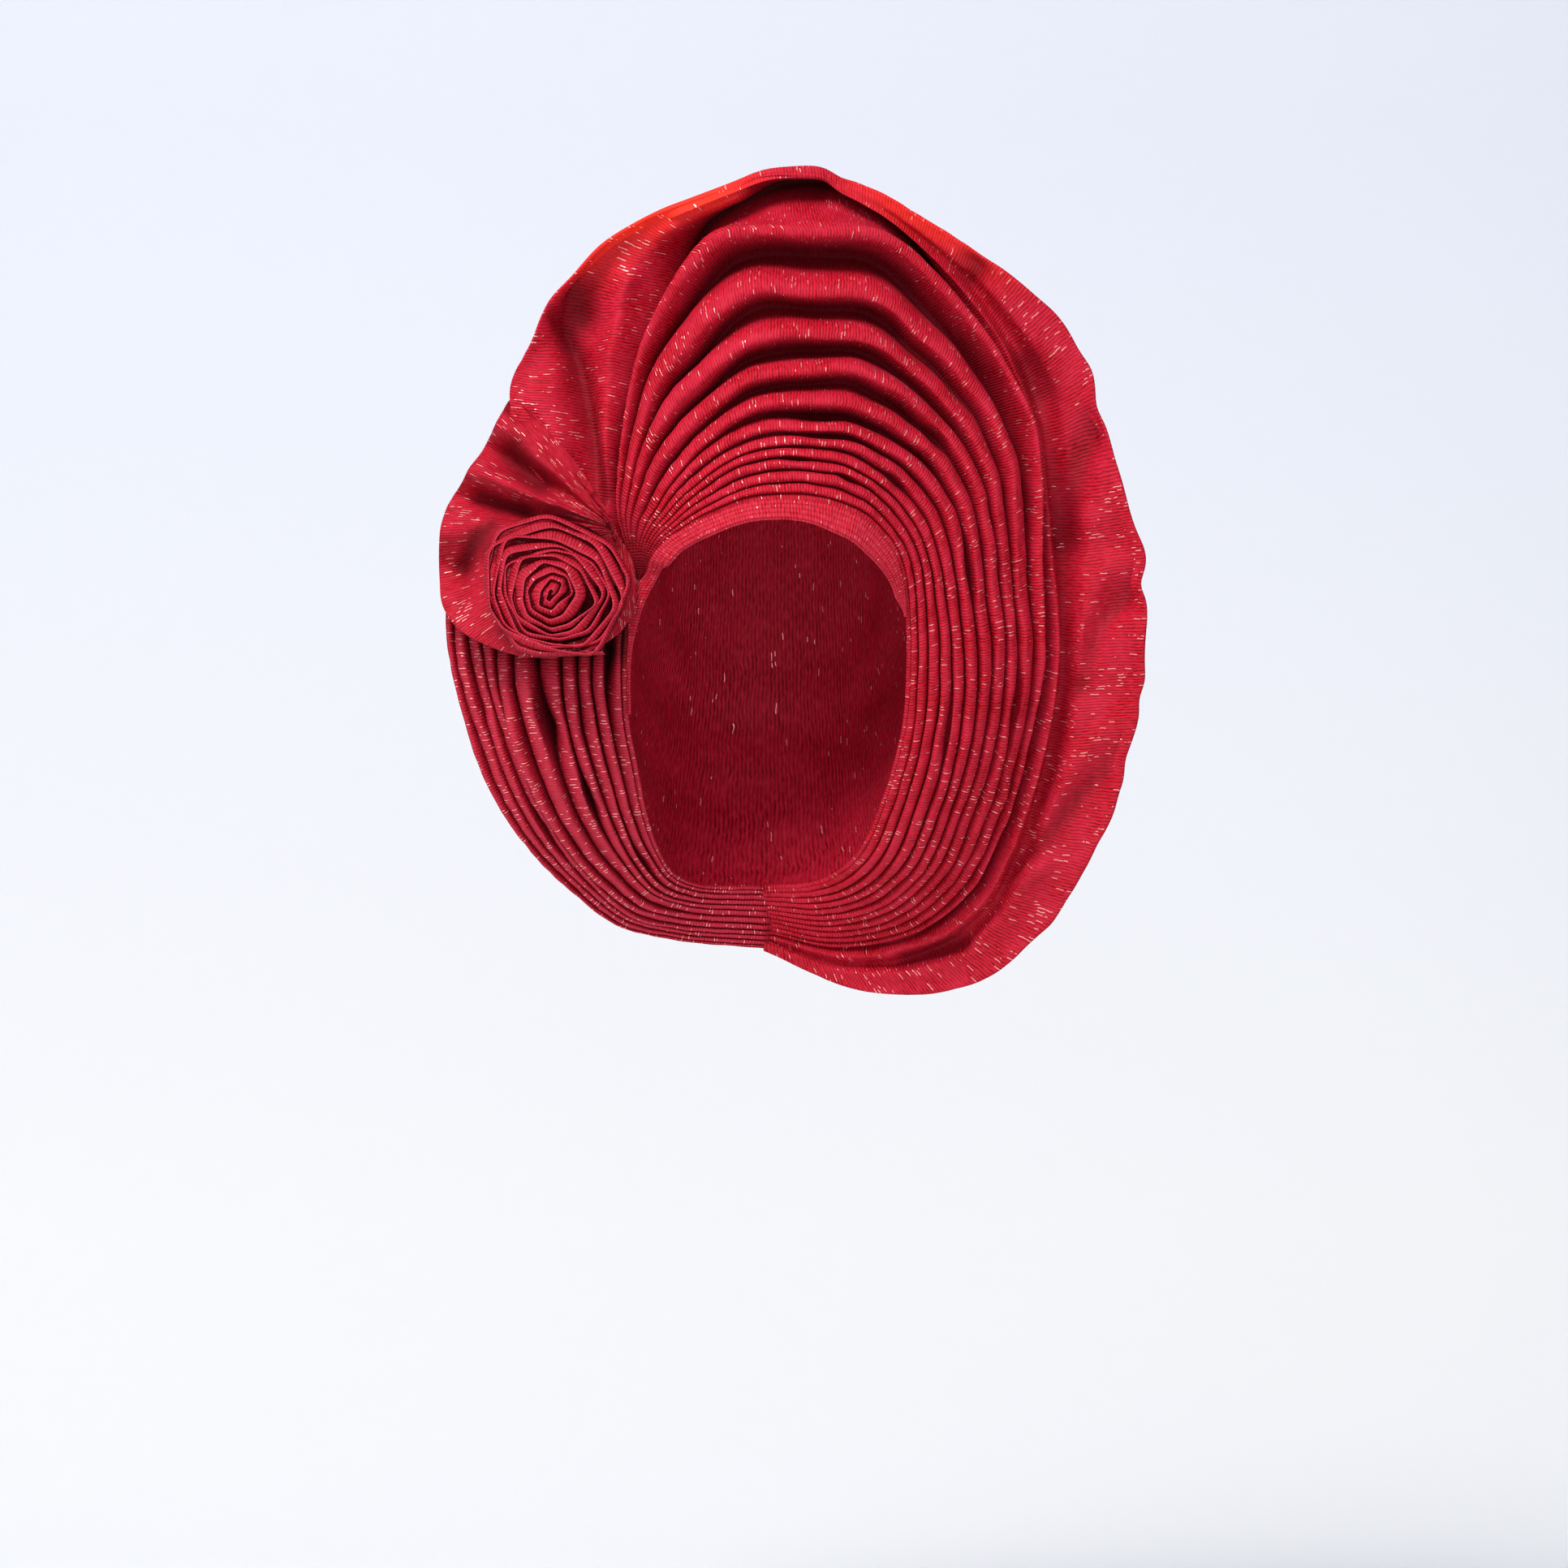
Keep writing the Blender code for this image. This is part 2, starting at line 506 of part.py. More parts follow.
def rosette_object(material):
    """A strip rolled into a spiral, with its folded edge to the front."""
    unit_length = RIM_TO_NAPE / 100
    core = (np.array(ROSETTE_CORE) - np.array(ROSETTE_CENTRE)) * unit_length
    steps = ROSETTE_TURNS * ROSETTE_STEPS
    share = np.linspace(0, 1, steps + 1)
    turn = 2 * math.pi * ROSETTE_TURNS * share
    radius = CORE_RADIUS + (ROSETTE_RADIUS - CORE_RADIUS) * share
    radius = radius * (1 + CORNER_SHARE * share * np.cos(ROSETTE_CORNERS * turn))
    middle = core * (1 - share)[:, None]
    outward = np.stack([np.cos(turn), np.zeros_like(turn), np.sin(turn)], axis=-1)
    centre = np.stack([middle[:, 0], np.zeros_like(turn), middle[:, 1]], axis=-1)
    front_y = -ROSETTE_STRIP - ROSETTE_DOME * (1 - share ** 2)
    columns = []
    for level, lean in STRIP_PROFILE:
        line = centre + outward * (radius + ROSETTE_FLARE * lean * share)[:, None]
        line[:, 1] = front_y * level
        columns.append(line)
    strip = np.stack(columns, axis=1)
    offsets = -outward[:, None] * ROSETTE_WALL * np.ones((1, len(columns), 1))
    offsets[:, -1] *= FOLD_TAPER
    strip[:, -1] -= outward * ROSETTE_WALL * (1 - FOLD_TAPER) / 2
    rosette = sheet_object("rosette", strip, offsets, material)
    rosette.location = (ROSETTE_CENTRE[0] * unit_length, 0, ROSETTE_CENTRE[1] * unit_length)
    return rosette


def world_mesh(thing):
    bpy.context.view_layer.update()
    points = [thing.matrix_world @ v.co for v in thing.data.vertices]
    faces = [tuple(p.vertices) for p in thing.data.polygons]
    samples = points + [sum((points[k] for k in face), Vector()) / len(face) for face in faces]
    for edge in thing.data.edges:
        start, end = (points[k] for k in edge.vertices)
        samples += [start.lerp(end, share) for share in EDGE_SAMPLES]
    return points, faces, samples


def seat(piece, others, side):
    """Slides a piece along Y, to side 1 or -1, until it is the clearance away from the others."""
    start = piece.location.y - side * RIM_TO_NAPE
    piece.location.y = start
    points, faces, samples = world_mesh(piece)
    piece_tree = BVHTree.FromPolygons(points, faces)
    travel = RIM_TO_NAPE * 2
    onward, return_way = Vector((0, side, 0)), Vector((0, -side, 0))
    for other in others:
        other_points, other_faces, other_samples = world_mesh(other)
        other_tree = BVHTree.FromPolygons(other_points, other_faces)
        for tree, origins, way in ((other_tree, samples, onward),
                                   (piece_tree, other_samples, return_way)):
            for origin in origins:
                distance = tree.ray_cast(origin, way)[3]
                if distance is not None:
                    travel = min(travel, distance)
    piece.location.y = start + side * (travel - CLEARANCE)


def build():
    clear_scene()
    crown = bpy.data.objects.new("head_crown", None)
    bpy.context.scene.collection.objects.link(crown)
    fan = fan_object(cloth_material("fan_cloth", FAN_COLOUR))
    panel = panel_object(cloth_material("panel_cloth", FAN_COLOUR))
    band = band_object(cloth_material("band_cloth", BAND_COLOUR))
    seat(band, [fan, panel], 1)
    cap = cap_object(cloth_material("cap_cloth", CAP_COLOUR))
    seat(cap, [fan, panel, band], -1)
    drape = drape_object(cloth_material("drape_cloth", FAN_COLOUR))
    seat(drape, [fan, panel, band], 1)
    rosette = rosette_object(cloth_material("rosette_cloth", FAN_COLOUR))
    seat(rosette, [drape, fan, panel, band], 1)
    for piece in (fan, panel, band, cap, drape, rosette):
        piece.parent = crown


build()
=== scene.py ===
import math

import bpy
import numpy as np
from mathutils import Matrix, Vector


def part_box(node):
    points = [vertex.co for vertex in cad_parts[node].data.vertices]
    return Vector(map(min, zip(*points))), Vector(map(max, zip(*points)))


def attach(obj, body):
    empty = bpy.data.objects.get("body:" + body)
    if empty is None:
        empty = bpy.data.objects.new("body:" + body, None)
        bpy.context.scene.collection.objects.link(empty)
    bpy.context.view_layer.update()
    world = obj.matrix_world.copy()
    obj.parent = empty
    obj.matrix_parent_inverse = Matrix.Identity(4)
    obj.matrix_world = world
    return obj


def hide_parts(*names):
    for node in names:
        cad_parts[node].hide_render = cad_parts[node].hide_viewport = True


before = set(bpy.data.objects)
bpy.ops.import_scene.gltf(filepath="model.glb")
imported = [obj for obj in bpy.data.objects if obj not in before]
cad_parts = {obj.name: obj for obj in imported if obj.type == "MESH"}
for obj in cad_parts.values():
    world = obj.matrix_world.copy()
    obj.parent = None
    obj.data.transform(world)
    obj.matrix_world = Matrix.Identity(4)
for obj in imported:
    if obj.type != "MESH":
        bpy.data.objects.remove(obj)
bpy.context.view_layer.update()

# The head tie's own sizes, in metres
headTie = {
    "rimToNape": 0.400,
    "crownToBack": 0.100,
}
acrossUnit = headTie["rimToNape"] / 100  # x and z in the tables
deepUnit = headTie["crownToBack"] / 100  # y in the tables


# Reading tables and shaping curves

def smoothThrough(knots, values, at):
    # a smooth curve through the values at the knots, read at other places
    knots, values = np.asarray(knots, float), np.asarray(values, float)
    slopes = np.gradient(values, knots, axis=0)
    low = np.clip(np.searchsorted(knots, at, side="right") - 1, 0, len(knots) - 2)
    span = knots[low + 1] - knots[low]
    t = (at - knots[low]) / span
    if values.ndim > 1:
        t, span = t[:, None], span[:, None]
    start, end = values[low], values[low + 1]
    return (start * (1 + 2 * t) * (1 - t) ** 2 + slopes[low] * span * t * (1 - t) ** 2
            + end * t ** 2 * (3 - 2 * t) + slopes[low + 1] * span * t ** 2 * (t - 1))


def readSections(columns, rows):
    # a section table as points and lengths in metres
    scales = {"x": acrossUnit, "z": acrossUnit, "band": acrossUnit, "reach": acrossUnit,
              "y": deepUnit, "bulge": deepUnit, "dish": deepUnit}
    return np.array(rows, float) * [scales.get(name.split("_")[-1], 1) for name in columns]


def unit(vectors):
    return vectors / np.maximum(np.linalg.norm(vectors, axis=-1, keepdims=True), 1e-12)


def spacedStations(lines):
    # running length to each section, as the mean of a few lines through them
    steps = np.mean([np.linalg.norm(np.diff(line, axis=0), axis=1) for line in lines], axis=0)
    return np.concatenate([[0], np.cumsum(steps)])


def placedSections(columns, rows):
    table = readSections(columns, rows)
    return table, spacedStations([table[:, 0:3], table[:, 3:6]])


def wave(start, end, share):
    # from start to end, slow at both
    return start + (end - start) * (1 - np.cos(np.pi * share)) / 2


def bowedLines(start, end, shares, bow):
    # points on lines from start to end; their middles are bow further back
    shares = np.atleast_2d(shares)
    points = start[:, None] + (end - start)[:, None] * shares[:, :, None]
    points[:, :, 1] += bow * 4 * shares * (1 - shares)
    return points


def lengthAlong(points, axis):
    # running length of each line of points, in metres
    steps = np.linalg.norm(np.diff(points, axis=axis), axis=-1)
    zero = np.zeros_like(np.take(steps, [0], axis=axis))
    return np.concatenate([zero, np.cumsum(steps, axis=axis)], axis=axis)


def softNoise(x, y, seed, parts=7):
    # gentle unevenness from a few crossing waves; x and y are in wavelengths
    dice = np.random.default_rng(seed)
    total = 0.0
    for _ in range(parts):
        turn, phase, pace = dice.uniform(0, 2 * np.pi, 2).tolist() + [dice.uniform(0.5, 1.6)]
        total = total + np.sin(2 * np.pi * pace * (x * np.cos(turn) + y * np.sin(turn)) + phase)
    return total / math.sqrt(parts / 2) / 2


def softLine(at, step, seed):
    # random smooth values along a line, one new value each step
    dice = np.random.default_rng(seed)
    knots = np.arange(at.min() - 2 * step, at.max() + 3 * step, step)
    return smoothThrough(knots, dice.uniform(-1, 1, len(knots)), at)


def ripples(along, across, ripple):
    # ripple holds the height, the wavelengths along and across, and a seed
    height, longWave, wideWave, seed = ripple
    return height * softNoise(along / longWave, across / wideWave, seed)


# Making meshes

def clothPiece(name, points, faces, weave, material, shades=None):
    # cloth with the weave's own coordinates, in metres, at every corner of every face
    mesh = bpy.data.meshes.new(name)
    mesh.from_pydata(points.reshape(-1, 3).tolist(), [], faces.tolist())
    layer = mesh.uv_layers.new(name="weave")
    layer.data.foreach_set("uv", weave.reshape(-1).astype(np.float32))
    for shadeName, values in (shades or {}).items():
        shade = mesh.attributes.new(shadeName, "FLOAT", "POINT")
        shade.data.foreach_set("value", values.reshape(-1).astype(np.float32))
    mesh.shade_smooth()
    mesh.materials.append(material)
    piece = bpy.data.objects.new(name, mesh)
    bpy.context.scene.collection.objects.link(piece)
    print(name, "made:", len(faces), "faces")
    return piece


def gridCorners(rows, columns, closed=False):
    # rows and columns of the four corners of every face, and the face's own column
    i, j = np.meshgrid(np.arange(rows if closed else rows - 1), np.arange(columns - 1),
                       indexing="ij")
    i, j = i.reshape(-1, 1), j.reshape(-1, 1)
    return np.hstack([i, i, i + 1, i + 1]) % rows, np.hstack([j, j + 1, j + 1, j]), j


def stripPiece(name, grid, ribs, runs, material, shades=None):
    # ribs holds one value for each row and each column of faces, runs one for each point
    rows, columns = grid.shape[:2]
    row, column, j = gridCorners(rows, columns)
    weave = np.stack([ribs[row, j], runs[row, column]], axis=-1)
    return clothPiece(name, grid, row * columns + column, weave, material, shades)


def ringPiece(name, grid, ribs, runs, material, shades=None, seam=None):
    # a closed ring of cloth; ribs and runs belong to its points, and ribs start again after seam
    rows, columns = grid.shape[:2]
    row, column, _ = gridCorners(rows, columns, closed=True)
    u = ribs[row, column]
    if seam:
        u = u - seam * np.round((u - u[:, :1]) / seam)
    weave = np.stack([u, runs[row, column]], axis=-1)
    return clothPiece(name, grid, row * columns + column, weave, material, shades)


def ribCoordinates(grid, groups):
    # each group of face columns shares the running length of its own middle line
    lengths = lengthAlong(grid, 0)
    ribs = np.zeros((grid.shape[0], grid.shape[1] - 1))
    for start, end, middle in groups:
        ribs[:, start:end] = lengths[:, middle:middle + 1]
    return ribs


# Materials

def linear(hexColour):
    # from the tone on a screen to the values that light is worked out with
    parts = [int(hexColour[k:k + 2], 16) / 255 for k in (1, 3, 5)]
    return tuple(c / 12.92 if c <= 0.04045 else ((c + 0.055) / 1.055) ** 2.4
                 for c in parts) + (1.0,)


def addNode(tree, kind, inputs=(), output=0, **settings):
    # adds a node with its settings and its inputs, fixed or linked, and returns one of its outputs
    node = tree.nodes.new("ShaderNode" + kind)
    for key, value in settings.items():
        setattr(node, key, value)
    for key, value in inputs.items() if isinstance(inputs, dict) else enumerate(inputs):
        if isinstance(value, bpy.types.NodeSocket):
            tree.links.new(value, node.inputs[key])
        else:
            node.inputs[key].default_value = value
    return node.outputs[output]


def ribbedMetalThreadCloth(name, look):
    # Ribbed polyester head-tie cloth, woven with a flat metallic thread beside the ribs: the eye
    # sees fine dark lines between the ribs, a soft rosy sheen on every crest, mostly a painted
    # highlight, and short pale sparks where a metallic thread comes to the face.
    material = bpy.data.materials.new(name)
    material.use_nodes = True
    tree = material.node_tree
    shader = tree.nodes["Principled BSDF"]
    mm = 0.001
    ribSpacing = look["ribSpacing"] * mm
    weave = addNode(tree, "UVMap", uv_map="weave")
    place = addNode(tree, "TexCoord", output="Object")
    # painted shade: the depth attribute darkens valleys, creases, dents and gaps; below nothing it
    # marks crests, for a painted highlight and painted glints
    paintedDepthShade = addNode(tree, "Attribute", output="Fac", attribute_name="depth")
    # one slow noise makes the threads wander, the dye blotchy and the sparks gather in clusters
    slow = addNode(tree, "TexNoise",
                   {"Vector": place, "Scale": 1 / (look["cluster"] * mm), "Detail": 2.0})
    slowColour = slow.node.outputs["Color"]
    clusters = addNode(tree, "SeparateColor", (slowColour,), 1)
    wandering = addNode(tree, "VectorMath", (slowColour, (look["wander"] * mm, 0, 0), weave),
                        operation="MULTIPLY_ADD")
    straight = addNode(tree, "SeparateXYZ", (wandering,))
    along = straight.node.outputs["Y"]
    # a fine noise sets each rib a little out of line
    uneven = addNode(tree, "TexNoise",
                     {"Vector": weave, "Scale": 1 / (look["jitterSize"] * mm), "Detail": 1.0},
                     noise_dimensions="2D")
    across = addNode(tree, "Math", (uneven, look["jitter"] * mm, straight),
                     operation="MULTIPLY_ADD")
    # ribs: one dark groove for each rib spacing
    turns = addNode(tree, "Math", (across, 2 * math.pi / ribSpacing), operation="MULTIPLY")
    ribWave = addNode(tree, "Math", (turns,), operation="SINE")
    rib = addNode(tree, "MapRange", (ribWave, *look["ribEdges"], 0.0, 1.0))
    # yarn: uneven thickness along each thread
    pulled = (1 / ribSpacing, 1 / (look["slub"] * mm), 1)
    stretched = addNode(tree, "VectorMath", (wandering, pulled), operation="MULTIPLY")
    yarn = addNode(tree, "TexNoise",
                   {"Vector": stretched, "Scale": look["yarnsPerRib"], "Detail": 2.0},
                   noise_dimensions="2D")
    # metallic thread: one beside each rib, seen in short dashes of uneven length
    thread = addNode(tree, "Math", (across, look["threadSpacing"] * mm), operation="DIVIDE")
    threadNumber = addNode(tree, "Math", (thread,), operation="FLOOR")
    threadShare = addNode(tree, "Math", (thread,), operation="FRACT")
    stagger = addNode(tree, "TexWhiteNoise", {"W": threadNumber}, noise_dimensions="1D")
    dashes = addNode(tree, "Math", (along, look["dashLength"] * mm), operation="DIVIDE")
    dashPlace = addNode(tree, "Math", (stagger, look["stagger"], dashes),
                        operation="MULTIPLY_ADD")
    dashNumber = addNode(tree, "Math", (dashPlace,), operation="FLOOR")
    dashShare = addNode(tree, "Math", (dashPlace,), operation="FRACT")
    cell = addNode(tree, "CombineXYZ", (threadNumber, dashNumber))
    dice = addNode(tree, "TexWhiteNoise", {"Vector": cell}, noise_dimensions="2D")
    length = addNode(tree, "SeparateColor", (dice.node.outputs["Color"],), 1)
    length = addNode(tree, "MapRange", (length, 0.0, 1.0, look["shortestDash"], 1.0))
    # painted glints and painted shade: the sparks are put mostly on the crests of the pleats, where
    # light catches them, and none deep in the folds
    chance = look["dashChance"]
    spare = addNode(tree, "MapRange",
                    (clusters, *look["clusterEdges"], 1 - chance * look["looseShare"], 1 - chance))
    limit = addNode(tree, "Math", (paintedDepthShade, look["paintedGlintChance"], spare), operation="MULTIPLY_ADD")
    shown = addNode(tree, "Math", (dice, limit), operation="GREATER_THAN")
    short = addNode(tree, "Math", (dashShare, length), operation="LESS_THAN")
    thin = addNode(tree, "Math", (threadShare, look["threadWidth"] / look["threadSpacing"]),
                   operation="LESS_THAN")
    spark = addNode(tree, "Math", (shown, short), operation="MULTIPLY")
    spark = addNode(tree, "Math", (spark, thin), operation="MULTIPLY")
    # colours from the groove up: the ribs, the blotchy dye, and paler yarns here and there
    blotches = addNode(tree, "MapRange", (slow, *look["blotchEdges"], 0.0, look["blotchShare"]))
    paleYarn = addNode(tree, "MapRange", (yarn, *look["yarnEdges"], 0.0, look["yarnShare"]))
    layers = [(rib, "rib"), (blotches, "faded"), (paleYarn, "yarn")]
    if look["paintedGlow"]:  # painted light: a painted highlight on the rosette's folded edges, and painted daylight through the fan's thin rim
        layers.append((addNode(tree, "Attribute", output="Fac", attribute_name="paintedGlow"), "paintedGlow"))
    # painted highlight: the crests are painted paler; painted shade darkens the cloth deep in the
    # folds
    crest = addNode(tree, "MapRange", (paintedDepthShade, 0.0, look["paintedHighlightDepth"], 0.0, look["paintedHighlightShare"]))
    layers += [(crest, "crest"), (paintedDepthShade, "depth"), (spark, "spark")]
    colour = linear(look["groove"])
    for share, tone in layers:
        colour = addNode(tree, "Mix", {0: share, 6: colour, 7: linear(look[tone])}, 2,
                         data_type="RGBA")
    roughness = addNode(tree, "MapRange",
                        (spark, 0.0, 1.0, look["roughness"], look["sparkRoughness"]))
    metallic = addNode(tree, "Math", (spark, look["sparkMetal"]), operation="MULTIPLY")
    # relief: the ribs and the uneven yarn
    height = addNode(tree, "Math", (yarn, look["yarnRelief"], rib), operation="MULTIPLY_ADD")
    bump = addNode(tree, "Bump", {"Strength": look["bump"], "Distance": look["ribDepth"] * mm,
                                  "Height": height})
    tree.links.new(colour, shader.inputs["Base Color"])
    tree.links.new(roughness, shader.inputs["Roughness"])
    tree.links.new(metallic, shader.inputs["Metallic"])
    tree.links.new(bump, shader.inputs["Normal"])
    shader.inputs["IOR"].default_value = look["ior"]
    shader.inputs["Specular IOR Level"].default_value = look["specular"]
    shader.inputs["Sheen Weight"].default_value = look["sheen"]
    shader.inputs["Sheen Roughness"].default_value = look["sheenRoughness"]
    shader.inputs["Sheen Tint"].default_value = linear(look["sheenTint"])
    return material


# The pleated fan

fanLook = {  # lengths in mm
    "ribSpacing": 1.5,  # real ribs are 0.9 mm apart, drawn coarser so that they show
    "ribDepth": 0.45,
    "ribEdges": (-0.9, 0.5),  # where on its wave a rib begins and is full
    "slub": 6.0,  # length of a thick place in the yarn
    "yarnsPerRib": 1.3,
    "wander": 2.4,
    "jitter": 0.7,
    "jitterSize": 2.6,
    "cluster": 16,
    "clusterEdges": (0.42, 0.62),
    "threadSpacing": 1.5,
    "threadWidth": 0.36,
    "dashLength": 4.6,
    "shortestDash": 0.3,  # by dashLength
    "stagger": 7.0,
    "dashChance": 0.24,
    "looseShare": 0.2,  # the chance of a dash between the clusters, by dashChance
    # painted glints: how much more often sparks show on crests, and less often in folds
    "paintedGlintChance": 0.42,
    "rib": "#C40820",
    "groove": "#760010",
    "faded": "#CA2440",
    "blotchShare": 0.5,
    "blotchEdges": (0.35, 0.7),
    "yarn": "#D02A44",
    "yarnShare": 0.5,
    "yarnEdges": (0.4, 0.75),
    # painted highlight: the paler colour painted on the crests
    "crest": "#DC3C54",
    "paintedHighlightShare": 0.4,
    "paintedHighlightDepth": -0.4,
    "spark": "#FAA8A2",
    "sparkRoughness": 0.3,
    "sparkMetal": 0.4,
    # colour of the painted daylight through the rim
    "paintedGlow": "#FF3222",
    # colour of the painted shade deep in folds, dents and gaps
    "depth": "#400003",
    "ior": 1.5,
    "roughness": 0.6,
    "specular": 0.14,
    "sheen": 0.04,
    "sheenRoughness": 0.4,
    "sheenTint": "#FF6C80",
    "bump": 0.6,
    "yarnRelief": 0.7,
}

# Radial sections, from the gather over the top and down to the nape: x, z and band in hundredths
# of rimToNape, y, bulge and dish in hundredths of crownToBack
fanColumns = ("inner_x", "inner_y", "inner_z", "crest_x", "crest_y", "crest_z",
              "rim_x", "rim_y", "rim_z", "pleat", "bulge", "dish", "band")
fanSections = (
    (-15.7, -36, -14.7, -16.6, -34, -15.0, -18.0, -31, -15.0, 0.20, 0, 0, 2.2),
    (-14.7, -44, -12.2, -17.8, -36, -10.7, -21.5, -30, -10.0, 0.30, 0, 0, 2.4),
    (-13.0, -49, -10.3, -18.7, -36, -6.7, -25.5, -28, -5.5, 0.45, 1, 1, 2.4),
    (-11.0, -53, -9.0, -18.4, -36, -2.0, -29.5, -26, -1.0, 0.55, 2, 3, 2.3),
    (-9.2, -57, -8.0, -17.2, -36, 5.0, -32.2, -26, 6.6, 0.60, 3, 6, 2.3),
    (-7.0, -60, -7.1, -15.0, -36, 12.5, -29.8, -30, 12.8, 0.60, 3, 8, 2.2),
    (-4.5, -63, -6.2, -11.0, -37, 19.5, -25.5, -34, 21.2, 0.60, 2, 9, 2.2),
    (-2.7, -65, -5.7, -8.2, -38, 23.3, -19.8, -38, 26.8, 0.60, 1, 8, 2.3),
    (-0.5, -66, -5.4, -5.0, -38, 26.2, -13.3, -42, 30.6, 0.60, 0, 6, 2.4),
    (2.0, -67, -5.3, -0.5, -39, 27.0, -4.5, -45, 33.6, 0.60, 0, 4, 2.5),
    (5.0, -68, -5.5, 5.0, -40, 26.8, 3.0, -47, 35.3, 0.60, 0, 3, 2.8),
    (8.0, -67, -6.2, 12.5, -38, 26.2, 12.0, -45, 32.8, 0.60, 0, 4, 3.2),
    (11.0, -64, -7.4, 20.0, -34, 20.2, 22.5, -40, 26.9, 0.60, 1, 5, 3.3),
    (13.5, -59, -9.5, 27.1, -28, 11.9, 34.0, -34, 17.5, 0.65, 2, 7, 3.1),
    (15.3, -54, -12.0, 30.8, -24, 4.0, 39.6, -30, 8.7, 0.68, 4, 9, 2.5),
    (16.3, -49, -15.0, 31.8, -20, -3.5, 42.5, -27, -2.0, 0.72, 6, 11, 1.6),
    (16.8, -42, -19.5, 32.2, -16, -13.5, 45.8, -24, -12.3, 0.75, 8, 13, 0.8),
    (16.9, -34, -25.0, 32.8, -11, -23.5, 45.6, -20, -23.5, 0.75, 9, 13, 0),
    (16.3, -20, -33.5, 31.4, 0, -34.5, 44.3, -10, -34.5, 0.75, 10, 12, 0),
    (14.0, -2, -42.0, 28.6, 16, -44.5, 40.2, 6, -46.7, 0.75, 9, 9, 0),
    (11.2, 16, -48.5, 24.5, 34, -53.0, 34.3, 26, -57.5, 0.70, 6, 6, 0),
    (8.0, 35, -51.5, 17.5, 50, -58.5, 24.0, 44, -65.4, 0.65, 4, 4, 0),
    (4.8, 47, -52.8, 8.5, 62, -60.3, 12.0, 58, -66.0, 0.55, 2, 2, 0),
    (-1.0, 54, -53.2, -1.0, 68, -58.6, -1.0, 66, -60.9, 0.40, 0, 0, 0),
)
# Crests across the fan, one row for each pleat, at the sections that pleatPlaces names
pleatPlaces = (0, 2, 4, 6, 10, 13, 17, 19, 23)
pleatCrests = (
    (0.05, 0.04, 0.03, 0.03, 0.03, 0.03, 0.03, 0.03, 0.04),
    (0.14, 0.10, 0.08, 0.07, 0.075, 0.08, 0.10, 0.12, 0.13),
    (0.23, 0.17, 0.13, 0.12, 0.125, 0.13, 0.18, 0.21, 0.22),
    (0.32, 0.24, 0.18, 0.165, 0.17, 0.18, 0.27, 0.31, 0.32),
    (0.42, 0.31, 0.24, 0.21, 0.215, 0.25, 0.36, 0.41, 0.42),
    (0.52, 0.39, 0.31, 0.27, 0.27, 0.33, 0.46, 0.51, 0.52),
    (0.62, 0.47, 0.38, 0.34, 0.355, 0.44, 0.57, 0.60, 0.61),
    (0.71, 0.62, 0.52, 0.44, 0.485, 0.56, 0.67, 0.69, 0.71),
    (0.81, 0.76, 0.68, 0.59, 0.625, 0.67, 0.77, 0.79, 0.80),
    (0.90, 0.87, 0.82, 0.77, 0.775, 0.81, 0.88, 0.89, 0.90),
    (1.00, 1.00, 1.00, 1.00, 1.00, 1.00, 1.00, 1.00, 1.00),
)
# Soft folds of the flare: shares from the outer crest to the rim, and their rises in hundredths
# of crownToBack, at the sections that flarePlaces names
flarePlaces = (0, 4, 6, 10, 13, 17, 19, 23)
flareFolds = (
    (0.12, 0.06, 0.12, 0.70, 0.08, 0.05, 0.06, 0.12),
    (0.35, 0.19, 0.50, 0.90, 0.22, 0.16, 0.18, 0.30),
    (0.60, 0.38, 0.86, 0.94, 0.42, 0.28, 0.31, 0.50),
    (0.80, 0.64, 0.94, 0.97, 0.66, 0.47, 0.52, 0.70),
)
flareRises = (
    (0.0, -13, -17, -15, -16, -12, -9, -1),
    (0.2, 3, 2, 3, 4, 5, 5, 1),
    (0.0, -3, -3, 2, -3, -3, -3, -1),
    (0.2, 3, 0, 1, 2, 3, 4, 1),
)
